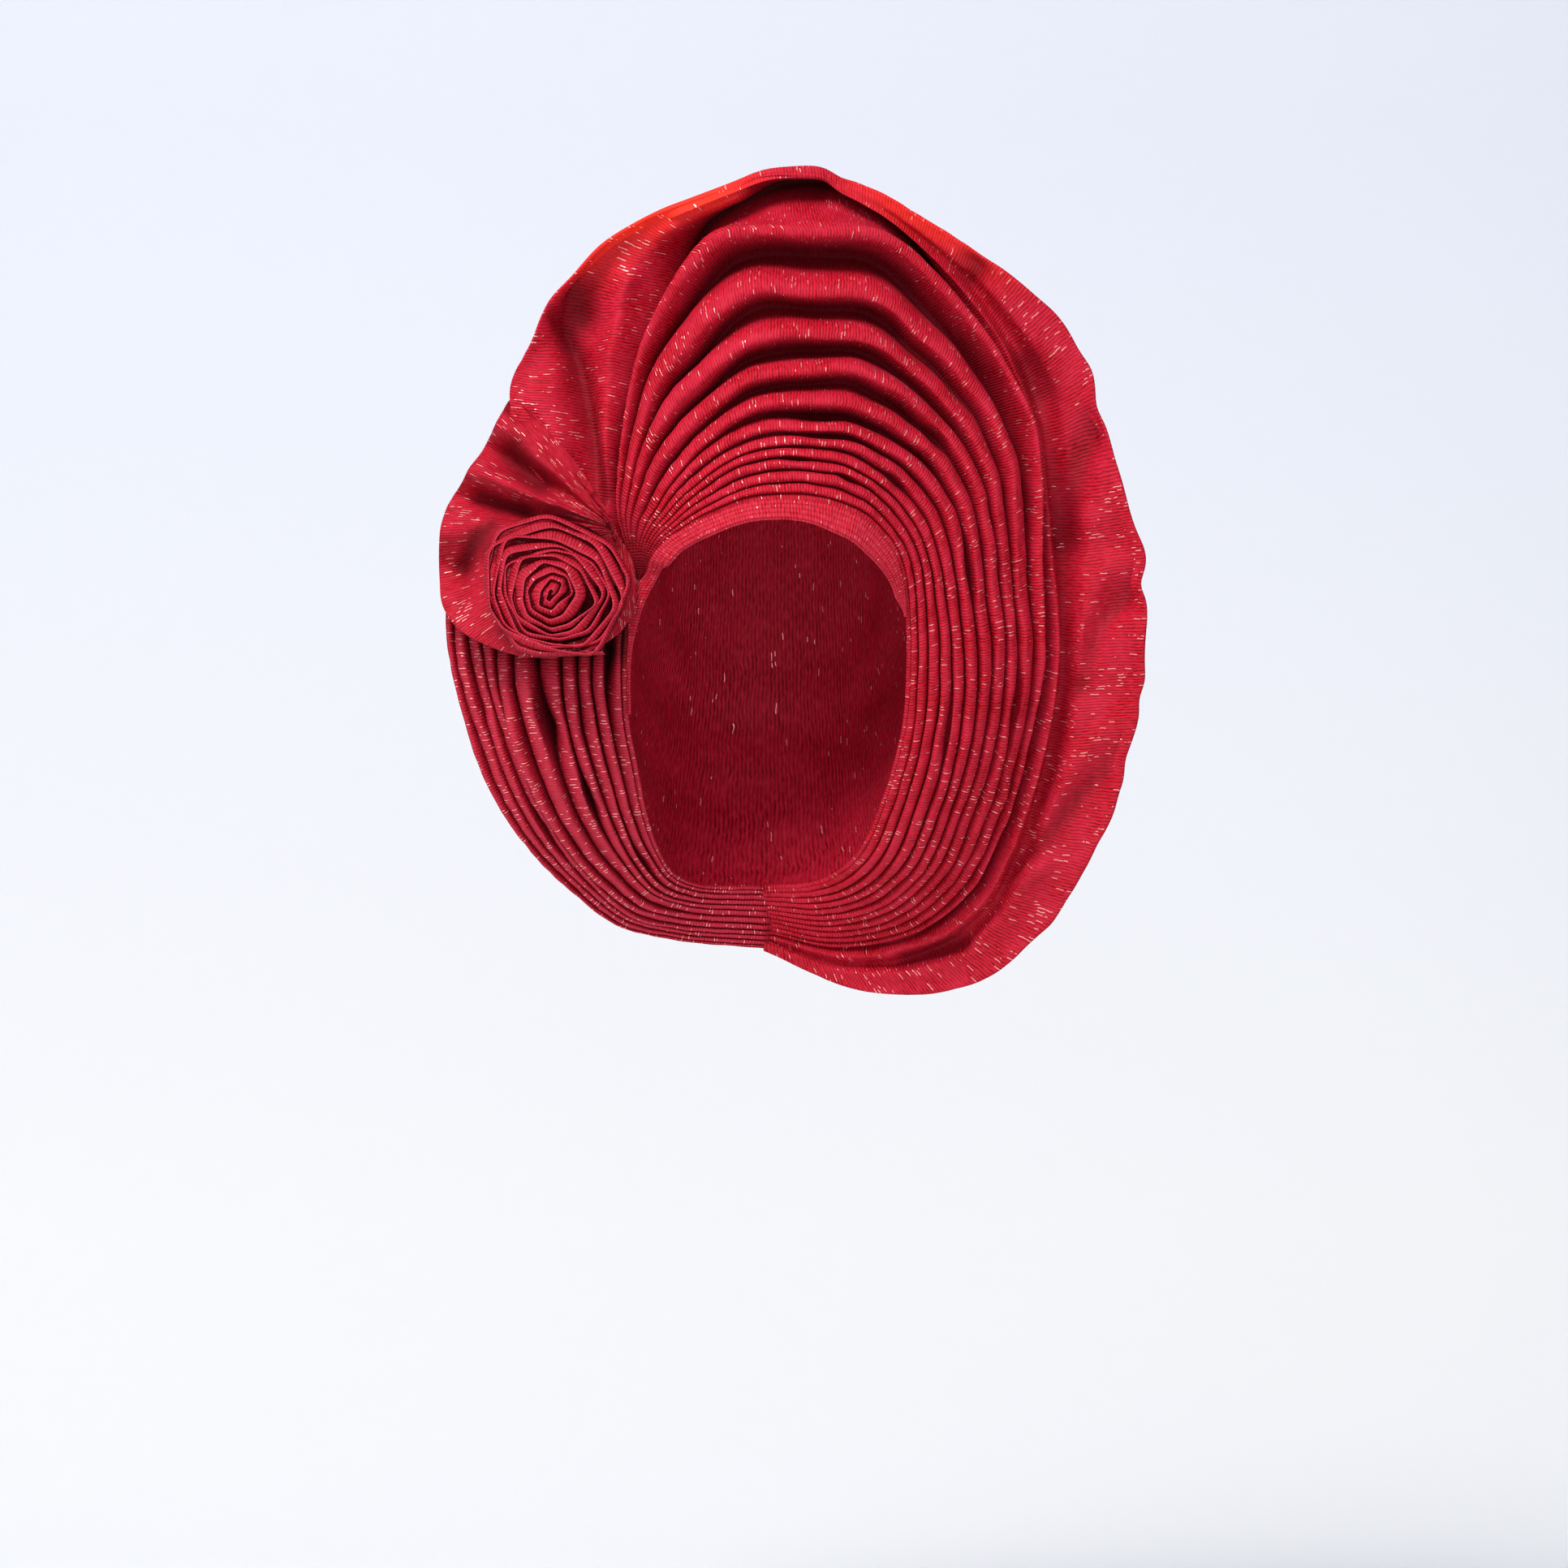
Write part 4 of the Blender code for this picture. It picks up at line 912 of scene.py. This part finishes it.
# The cap over the crown and the back of the head

# painted shade: the cap's cloth is drawn darker than the fan's, as the cap lies in shadow inside
# the head tie
capLook = dict(fanLook, rib="#AC0A26", groove="#6E0010", faded="#B2142E", paintedGlow=None,
               dashChance=0.05)
cap = {
    "halfWidth": 0.079,
    "halfHeight": 0.092,
    "wall": 0.0018,
    "tuck": 0.0015,
    "fanWall": 0.0021,
    "pole": (0.0, 0.84, 0.55),
    "rings": 150,
    "around": 420,
    "fanPoints": 41,  # how finely the edges of the fan and the side pleats are followed
    "panelPoints": 15,
    "folds": 5,
    "foldRise": 0.00096,
    "ripple": (0.0005, 0.03, 0.03, 41),
    "ribReach": 0.085,  # radii that turn angles about the head into lengths of cloth
    "runReach": 0.095,
    "lipForward": 0.0045,  # the edge reaches forward to the pleats
    "lipShare": 0.06,
}


def makeCap():
    fanTable, fanStations = placedSections(fanColumns, fanSections)
    panelTable, panelStations = placedSections(panelColumns, panelSections)
    fanRows = smoothThrough(fanStations, fanTable,
                            np.linspace(0, fanStations[-1], cap["fanPoints"]))[1:-1:2]
    panelRows = smoothThrough(panelStations, panelTable,
                              np.linspace(0, panelStations[-1], cap["panelPoints"]))[::-1][1::2]
    loop = np.concatenate([fanRows[:, 0:3], panelRows[:, 0:3]])
    outward = np.concatenate([fanRows[:, 3:6], panelRows[:, 3:6]]) - loop
    loop = loop + unit(outward) * cap["tuck"] + np.array([0, cap["fanWall"] + 0.0003, 0])
    # more points round the loop, evenly spaced
    ring = np.concatenate([loop, loop[:1]])
    stations = spacedStations([ring])
    even = np.linspace(0, stations[-1], cap["around"] + 1)[:-1]
    wide = np.concatenate([ring[-3:-1], ring, ring[1:3]])
    wideStations = np.concatenate([stations[-3:-1] - stations[-1], stations,
                                   stations[-1] + stations[1:3]])
    loop = smoothThrough(wideStations, wide, even)
    centre = np.array([0, 0, -cap["halfHeight"]])
    radii = np.array([cap["halfWidth"], headTie["crownToBack"], cap["halfHeight"] + cap["wall"]])
    scaled = (loop - centre) / radii
    reach = np.linalg.norm(scaled, axis=1)[:, None, None]
    pole = unit(np.array(cap["pole"]))
    start = unit(scaled)[:, None]
    turn = np.arccos(start @ pole)[:, :, None]
    shares = (np.linspace(0, 1, cap["rings"] + 1)[:-1])[None, :, None]
    direction = (np.sin((1 - shares) * turn) * start + np.sin(shares * turn) * pole)
    direction = direction / np.sin(turn)
    grown = 1 + (reach - 1) * (1 - shares) ** 2
    front = centre + radii * direction * grown
    around = np.roll(front, -1, axis=0) - np.roll(front, 1, axis=0)
    normals = unit(np.cross(around, np.gradient(front, axis=1)))
    normals *= np.sign(np.sum(normals * (front - centre), axis=-1, keepdims=True))
    folds = np.sin(math.pi * shares) * np.sin(2 * math.pi * cap["folds"] * shares)
    uneven = ripples(front[:, :, 0] + front[:, :, 1], front[:, :, 2], cap["ripple"])
    lift = folds * cap["foldRise"] + uneven[:, :, None] * np.sin(math.pi * shares)
    grid = front + normals * (lift - cap["wall"] / 2)
    grid[:, :, 1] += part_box("head_cap")[1].y - grid[:, :, 1].max() - cap["wall"] / 2
    lip = np.clip(1 - shares[:, :, 0] / cap["lipShare"], 0, 1) ** 2
    grid[:, :, 1] -= cap["lipForward"] * lip
    # ribs run over the head from side to side, so the weave is laid out on the head itself
    away = grid - centre
    ribs = np.arctan2(away[:, :, 0], np.hypot(away[:, :, 1], away[:, :, 2])) * cap["ribReach"]
    runs = np.unwrap(np.unwrap(np.arctan2(away[:, :, 1], away[:, :, 2]), axis=0), axis=1)
    runs *= cap["runReach"]
    tip = [part[:, -1:].mean(axis=0, keepdims=True).repeat(len(part), axis=0)
           for part in (grid, ribs, runs)]
    grid, ribs, runs = (np.concatenate([part, last], axis=1)
                        for part, last in zip((grid, ribs, runs), tip))
    return ringPiece("capCloth", grid, ribs, runs,
                     ribbedMetalThreadCloth("ribbedMetalThreadCap", capLook))


capCloth = makeCap()


# The drape round the rosette

drapeLook = dict(fanLook, rib="#BC0922", faded="#C01A34", paintedGlow=None, dashChance=0.34,
                 dashLength=5.0)
rosettePlace = (-26.0, -16.0)  # x and z, in hundredths of rimToNape
rosetteRadius = 0.0305
drapeFields = ("degrees", "reach", "ring_y", "edge_y")
drapeSections = (
    (0, 9.2, -13, -11),
    (20, 9.4, -15, -13),
    (45, 9.8, -17, -14),
    (61, 11.4, -18, -12),
    (77, 14.0, -18, -9),
    (90, 17.8, -17, -5),
    (98, 21.2, -16, -1),
    (105, 23.9, -15, 4),
    (109, 22.4, -14, 5),
    (117, 20.1, -13, 7),
    (130, 18.1, -12, 11),
    (144, 17.3, -11, 16),
    (159, 15.9, -10, 18),
    (173, 15.0, -10, 12),
    (189, 14.4, -10, -2),
    (201, 13.3, -11, -9),
    (217, 11.3, -12, -11),
    (237, 9.6, -13, -12),
    (264, 8.4, -14, -13),
    (288, 8.3, -14, -13),
    (313, 8.7, -14, -13),
    (332, 9.2, -13, -12),
    (348, 9.4, -13, -11),
)
drape = {
    "around": 620,
    "columns": 64,
    "foot": 1.02,  # by the rosette's radius: where the cloth goes down beside it
    "ring": 1.075,
    "footSteps": 8,
    "gather": (-18.5, -9.0),
    "foldReach": 11,
    "finePleats": 6.5,  # degrees between the fine pleats that leave the gather
    "fineFrom": 95,  # they lie between these directions, and fade out over fineFade degrees
    "fineTo": 262,
    "fineFade": 15,
    "foldScale": 2.2,
    "fineRise": 0.0022,
    "fineReach": 0.055,
    "fineWander": (0.35, 40, 0.05, 51),  # in pleats, over degrees and metres
    "ripple": (0.0004, 9, 0.03, 52),
    "dentShade": 0.65,
    "dentDepth": 0.007,  # of a dent that gets the full painted shade
    "fullRibsAt": 0.1,  # the ribs fan out from the gather, and have their full spacing this far out
    "hemBack": 0.006,
    "hemRoll": 0.0009,
}
# Broad folds that fan out from the gather: direction in degrees, rise
drapeFolds = ((110, 0), (131, 1), (139, 3), (147, -4), (158, 4), (167, -5), (179, 3), (193, -4),
              (212, 2), (240, 0))
drapeCreases = (  # dents and folds between the gather and the drape's edge
    (((-35.6, -4.2), (-33.4, -5.4), (-30.5, -6.2)), -6, 6),
    (((-38.0, -13.4), (-37.0, -11.0), (-34.8, -8.2)), -7, 5.0),
    (((-39.5, -6.0), (-37.5, -7.5), (-35.0, -7.2)), 3, 4),
    (((-31.8, 1.0), (-30.4, -1.6), (-28.6, -3.4)), -7, 7),
    (((-33.0, 6.8), (-30.6, 5.2)), -6, 3.5),
    (((-35.5, -2.2), (-31.0, -4.2), (-27.0, -6.4)), 5, 4),
    (((-28.0, 5.0), (-25.0, 1.0), (-22.5, -3.5)), -4, 2.2),
    (((-30.0, 6.5), (-26.0, 3.0), (-22.0, -4.0)), 3, 2.5),
    (((-38.0, -6.0), (-40.5, -9.0)), 3, 7),
)


def makeDrape():
    table = readSections(drapeFields, drapeSections)
    table = np.vstack([table, table[0] + [360, 0, 0, 0]])
    angles = np.linspace(0, 360, drape["around"], endpoint=False)
    reach, ringY, edgeY = smoothThrough(table[:, 0], table[:, 1:], angles).T[:, :, None]
    turn = np.radians(angles)[:, None]
    foot, ring = rosetteRadius * drape["foot"], rosetteRadius * drape["ring"]
    count, down = drape["columns"], np.linspace(0, 1, drape["footSteps"] + 1)[1:]
    fall = np.concatenate([np.linspace(1, 0, count + 1), 0 * down])
    climb = np.concatenate([np.ones(count + 1), 1 - down])
    near = np.concatenate([np.full(count + 1, ring), ring + (foot - ring) * down])
    radius = near + (reach - ring) * fall
    depth = wave(0, 1, climb) * ringY + wave(0, 1, fall) * (edgeY - ringY)
    x, z = radius * np.cos(turn), radius * np.sin(turn)
    gather = (np.array(drape["gather"]) - np.array(rosettePlace)) * acrossUnit
    awayX, awayZ = x - gather[0], z - gather[1]
    way = np.degrees(np.arctan2(awayZ, awayX)) % 360
    away = np.hypot(awayX, awayZ)
    folds = np.array(drapeFolds, float)
    places = np.linspace(folds[0, 0], folds[-1, 0], 200)
    smoothRise = smoothThrough(folds[:, 0], folds[:, 1], places)
    rise = np.interp(way, places, smoothRise, left=0, right=0) * deepUnit * drape["foldScale"]
    growth = np.clip(away / (drape["foldReach"] * acrossUnit), 0, 1) ** 2
    lift = rise * growth * np.sin(math.pi / 2 * climb)
    # fine pleats that leave the gather and die out
    facing = (np.clip((way - drape["fineFrom"]) / drape["fineFade"], 0, 1)
              * np.clip((drape["fineTo"] - way) / drape["fineFade"], 0, 1))
    fade = np.exp(-(away / drape["fineReach"]) ** 2) * np.clip(away / 0.008, 0, 1)
    phase = way / drape["finePleats"] + ripples(way, away, drape["fineWander"])
    lift += drape["fineRise"] * facing * fade * np.abs(np.sin(math.pi * phase)) ** 0.7 * climb
    lift += ripples(way, away, drape["ripple"]) * climb
    grid = np.stack([x, depth - lift, z], axis=-1)
    outward = unit(grid[:, 0] - grid[:, 3])
    normals = np.tile(np.array([0.0, -1.0, 0.0]), (len(grid), 1))
    hem = turnedHem(grid[:, 0], normals, outward, drape["hemRoll"], drape["hemBack"])
    centre = np.linspace(1, 0.02, 8)[1:, None, None] * grid[None, :, -1]
    centre[:, :, 1] = 0
    grid = np.concatenate([np.stack(hem[::-1], 1), grid, centre.transpose(1, 0, 2)], axis=1)
    shift = np.array([rosettePlace[0] * acrossUnit, 0, rosettePlace[1] * acrossUnit])
    grid = grid + shift
    push = pressed(grid, drapeCreases)
    grid[:, :, 1] -= push
    grid[:, :, 1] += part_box("rosette_drape")[0].y - grid[:, :, 1].min()
    # painted shade in the dents of the drape
    depth = np.clip(-push / drape["dentDepth"], 0, 1) * drape["dentShade"]
    flat = grid - shift
    awayX, awayZ = flat[:, :, 0] - gather[0], flat[:, :, 2] - gather[1]
    fullAt = drape["fullRibsAt"]
    ribs = np.radians(np.degrees(np.arctan2(awayZ, awayX)) % 360) * fullAt
    return ringPiece("drapeCloth", grid, ribs, np.hypot(awayZ, awayX),
                     ribbedMetalThreadCloth("ribbedMetalThreadDrape", drapeLook),
                     {"depth": depth}, seam=2 * math.pi * fullAt)


drapeCloth = makeDrape()


# The rolled rosette

# the rosette's glow colour is a painted highlight for its folded edges
rosetteLook = dict(fanLook, rib="#B60A24", faded="#BA1830", yarn="#C02C44", paintedGlow="#E05068",
                   dashChance=0.08, paintedGlintChance=0.1, dashLength=1.6)
rosette = {
    "core": (-27.0, -17.0),  # x and z, in hundredths of rimToNape
    "stepsPerTurn": 128,
    "layer": 0.0005,  # half the thickness of the folded strip
    "depth": 0.014,
    "inside": (0.009, 0.005, 0.0025, 0.001),  # where its inner side bends on the way up
    "rounding": 13,  # steps over which a folded corner is rounded
    "dome": 0.004,
    "widestFace": 0.0055,
    "paintedFoldHighlight": 0.25,  # painted highlight: how much paler the folded edge is painted, as if lit
    "wobble": 0.0012,
}
# Radius of the strip's front fold for each turn, from the core outward, in thousandths of
# rimToNape at these directions: degrees from +X towards +Z
rosetteWays = (0, 45, 90, 135, 180, 225, 270, 315)
rosetteTurns = (
    (3, 8, 8, 4, 3, 8, 10, 7),
    (12, 22, 21, 12, 12, 20, 21, 16),
    (29, 31, 29, 27, 28, 30, 32, 31),
    (35, 38, 41, 37, 35, 38, 43, 44),
    (60, 50, 48, 58, 47, 48, 50, 54),
    (68, 58, 54, 65, 54, 56, 56, 66),
    (75, 66, 61, 74, 61, 62, 61, 76),
    (82, 73, 69, 88, 69, 67, 65, 84),
    (91, 83, 84, 97, 75, 71, 69, 91),
    (98, 94, 97, 101, 79, 75, 72, 97),
)
# Across the strip beyond its front fold: share of the room up to the next turn, and depth in m
petalFace = ((0.25, 0.0003), (0.48, 0.0007), (0.66, 0.0012), (0.79, 0.0019), (0.87, 0.0030),
             (0.91, 0.0050), (0.92, 0.0085))


def makeRosette():
    radii = np.array(rosetteTurns, float) * headTie["rimToNape"] / 1000
    turns = np.repeat(np.arange(len(radii)), len(rosetteWays))
    ways = np.radians(np.tile(rosetteWays, len(radii)) + 360 * turns)
    dice = np.random.default_rng(60)
    ways[1:-1] += np.radians(dice.uniform(-13, 13, len(ways) - 2))
    radii *= 1 + dice.uniform(-0.018, 0.018, radii.shape)
    corners = np.stack([radii.reshape(-1) * np.cos(ways), radii.reshape(-1) * np.sin(ways)], 1)
    # straight runs between folded corners, with each corner a little rounded
    perTurn, rounding = rosette["stepsPerTurn"], rosette["rounding"]
    share = np.linspace(0, len(corners) - 1, perTurn * len(radii))
    path = np.stack([np.interp(share, np.arange(len(corners)), corners[:, k]) for k in (0, 1)], 1)
    blur = np.hanning(rounding) / np.hanning(rounding).sum()
    path = np.stack([np.convolve(np.pad(path[:, k], rounding // 2, mode="edge"), blur,
                                 mode="valid") for k in (0, 1)], 1)
    radius = np.hypot(path[:, 0], path[:, 1])
    room = np.concatenate([radius[perTurn:] - radius[:-perTurn], np.full(perTurn, 0.003)])
    half = rosette["layer"]
    room = np.clip(room - 2 * half, 0.0012, rosette["widestFace"])
    outward = path / np.maximum(radius, 1e-9)[:, None]
    turned = np.linspace(0, 1, len(path))
    front = -rosette["dome"] * (1 - turned ** 2) + rosette["wobble"] * softLine(share, 2.7, 62)
    inside = [(-half, down) for down in (rosette["depth"], *rosette["inside"])]
    bend = [(-half * math.cos(t), -half * math.sin(t)) for t in np.linspace(0, math.pi / 2, 5)]
    columns = [(np.full_like(room, side), down) for side, down in inside + bend]
    columns += [(room * part, down - half) for part, down in petalFace]
    columns.append((room * petalFace[-1][0], rosette["depth"]))
    core = np.array(rosette["core"]) * acrossUnit
    grid = np.empty((len(path), len(columns), 3))
    for k, (side, down) in enumerate(columns):
        grid[:, k, 0::2] = core + outward * (radius + side)[:, None]
        grid[:, k, 1] = front + down
    grid[:, :, 1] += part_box("rosette")[0].y - grid[:, :, 1].min()
    ribs = ribCoordinates(grid, [(0, grid.shape[1] - 1, 8)])
    # painted shade on the strip's inner side, full from 5 mm deep
    deep = np.array([max(down, 0) for _, down in columns])
    depth = np.repeat(np.clip(deep / 0.005, 0, 1)[None], len(grid), 0)
    # painted highlight on the strip's folded edge
    paintedGlow = np.zeros(grid.shape[:2])
    paintedGlow[:, len(inside):len(inside) + len(bend)] = rosette["paintedFoldHighlight"]
    return stripPiece("rosetteRoll", grid, ribs, lengthAlong(grid, 1),
                      ribbedMetalThreadCloth("ribbedMetalThreadRosette", rosetteLook),
                      {"depth": depth, "paintedGlow": paintedGlow})


rosetteRoll = makeRosette()


# Which CAD node each piece stands for, and the cloth it was cut from

cutCloth = {  # flat width and length in metres, before pleating
    "fanPleats": ("pleated_fan", "fan_cloth", (0.15, 1.00), "gathered"),
    "sidePleatsCloth": ("side_pleats", "panel_cloth", (0.10, 0.36), "gathered"),
    "browBand": ("front_band", "band_cloth", (0.018, 0.30), "folded"),
    "capCloth": ("head_cap", "cap_cloth", (0.27, 0.28), "stretched"),
    "drapeCloth": ("rosette_drape", "drape_cloth", (0.13, 0.13), "gathered"),
    "rosetteRoll": ("rosette", "rosette_cloth", (0.042, 1.10), "folded"),
}
for piece in (fanPleats, sidePleatsCloth, browBand, capCloth, drapeCloth, rosetteRoll):
    node, slot, flatSize, held = cutCloth[piece.name]
    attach(piece, "root")
    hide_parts(node)
    piece.data.update()
    area = sum(p.area for p in piece.data.polygons)
    print(piece.name, "area", round(area, 4), "triangles", 2 * len(piece.data.polygons))


# Studio

studio = {
    "floorHeight": -0.61,
    "wall": 1.6,
    "curve": 0.9,
    "frameWidth": 0.7728,  # metres across the picture at the head tie
    "frameMiddle": (0.0064, -0.1604),  # x and z
    "distance": 4.0,
    "paperLow": "#F6F7F6",
    "paperHigh": "#E7EBF5",
    "lowAndHigh": (-0.45, 0.30),  # where the paper takes these two tones, along Z
    "roomTone": "#E9EEFB",
    "roomStrength": 0.35,
}
lamps = {  # place, aim, size, power and colour
    "keyAbove": ((-0.8, -1.5, 1.7), (0, 0, -0.05), (1.1, 0.9), 68, "#FFFCF8"),
    "frontSoft": ((0.5, -2.6, 0.3), (0, 0, -0.1), (1.6, 1.2), 12, "#F6F7FF"),
    "wallAndRims": ((0, 0.75, 2.4), (0, 1.5, -0.1), (3.6, 0.5), 9, "#EEF2FF"),
}


def makeBackdrop():
    # a sheet of matt paper: floor, sweep and wall in one curve
    profile = [(-6.0, 0.0), (studio["wall"] - studio["curve"], 0.0)]
    for t in np.linspace(0, math.pi / 2, 24)[1:]:
        profile.append((studio["wall"] - studio["curve"] + studio["curve"] * math.sin(t),
                        studio["curve"] * (1 - math.cos(t))))
    profile.append((studio["wall"], 5.0))
    points = [(side, y, z + studio["floorHeight"]) for side in (-6.0, 6.0) for y, z in profile]
    count = len(profile)
    faces = [(k, k + 1, count + k + 1, count + k) for k in range(count - 1)]
    mesh = bpy.data.meshes.new("paperSweep")
    mesh.from_pydata(points, [], faces)
    mesh.shade_smooth()
    paper = bpy.data.materials.new("mattStudioPaper")  # an almost white ground, painted paler low down and bluer higher up: painted light on the paper
    paper.use_nodes = True
    shader = paper.node_tree.nodes["Principled BSDF"]
    tree = paper.node_tree
    # painted light: the paper's tone goes from paler at the floor to bluer higher up
    place = addNode(tree, "TexCoord", output="Object")
    height = addNode(tree, "SeparateXYZ", (place,), 2)
    share = addNode(tree, "MapRange", (height, *studio["lowAndHigh"], 0.0, 1.0))
    tint = addNode(tree, "Mix", {0: share, 6: linear(studio["paperLow"]),
                                 7: linear(studio["paperHigh"])}, 2, data_type="RGBA")
    tree.links.new(tint, shader.inputs["Base Color"])
    shader.inputs["Roughness"].default_value = 0.95
    mesh.materials.append(paper)
    sweep = bpy.data.objects.new("paperSweep", mesh)
    bpy.context.scene.collection.objects.link(sweep)


makeBackdrop()
for name, (place, aim, size, power, colour) in lamps.items():
    light = bpy.data.lights.new(name, "AREA")
    light.shape = "RECTANGLE"
    light.size, light.size_y = size
    light.energy = power
    light.color = linear(colour)[:3]
    lamp = bpy.data.objects.new(name, light)
    lamp.location = place
    lamp.rotation_euler = (Vector(aim) - Vector(place)).to_track_quat("-Z", "Y").to_euler()
    bpy.context.scene.collection.objects.link(lamp)
print("studio lit:", len(lamps), "lamps")

world = bpy.data.worlds.new("paleStudio")
world.use_nodes = True
world.node_tree.nodes["Background"].inputs["Color"].default_value = linear(studio["roomTone"])
world.node_tree.nodes["Background"].inputs["Strength"].default_value = studio["roomStrength"]
bpy.context.scene.world = world
bpy.context.scene.view_settings.view_transform = "Standard"

lens = bpy.data.cameras.new("frontCamera")
lens.sensor_width = 36
lens.lens = 36 * studio["distance"] / studio["frameWidth"]
lens.clip_start, lens.clip_end = 0.1, 30
camera = bpy.data.objects.new("frontCamera", lens)
middleX, middleZ = studio["frameMiddle"]
camera.location = (middleX, -studio["distance"] - 0.03, middleZ)
camera.rotation_euler = (math.pi / 2, 0, 0)
bpy.context.scene.collection.objects.link(camera)
bpy.context.scene.camera = camera
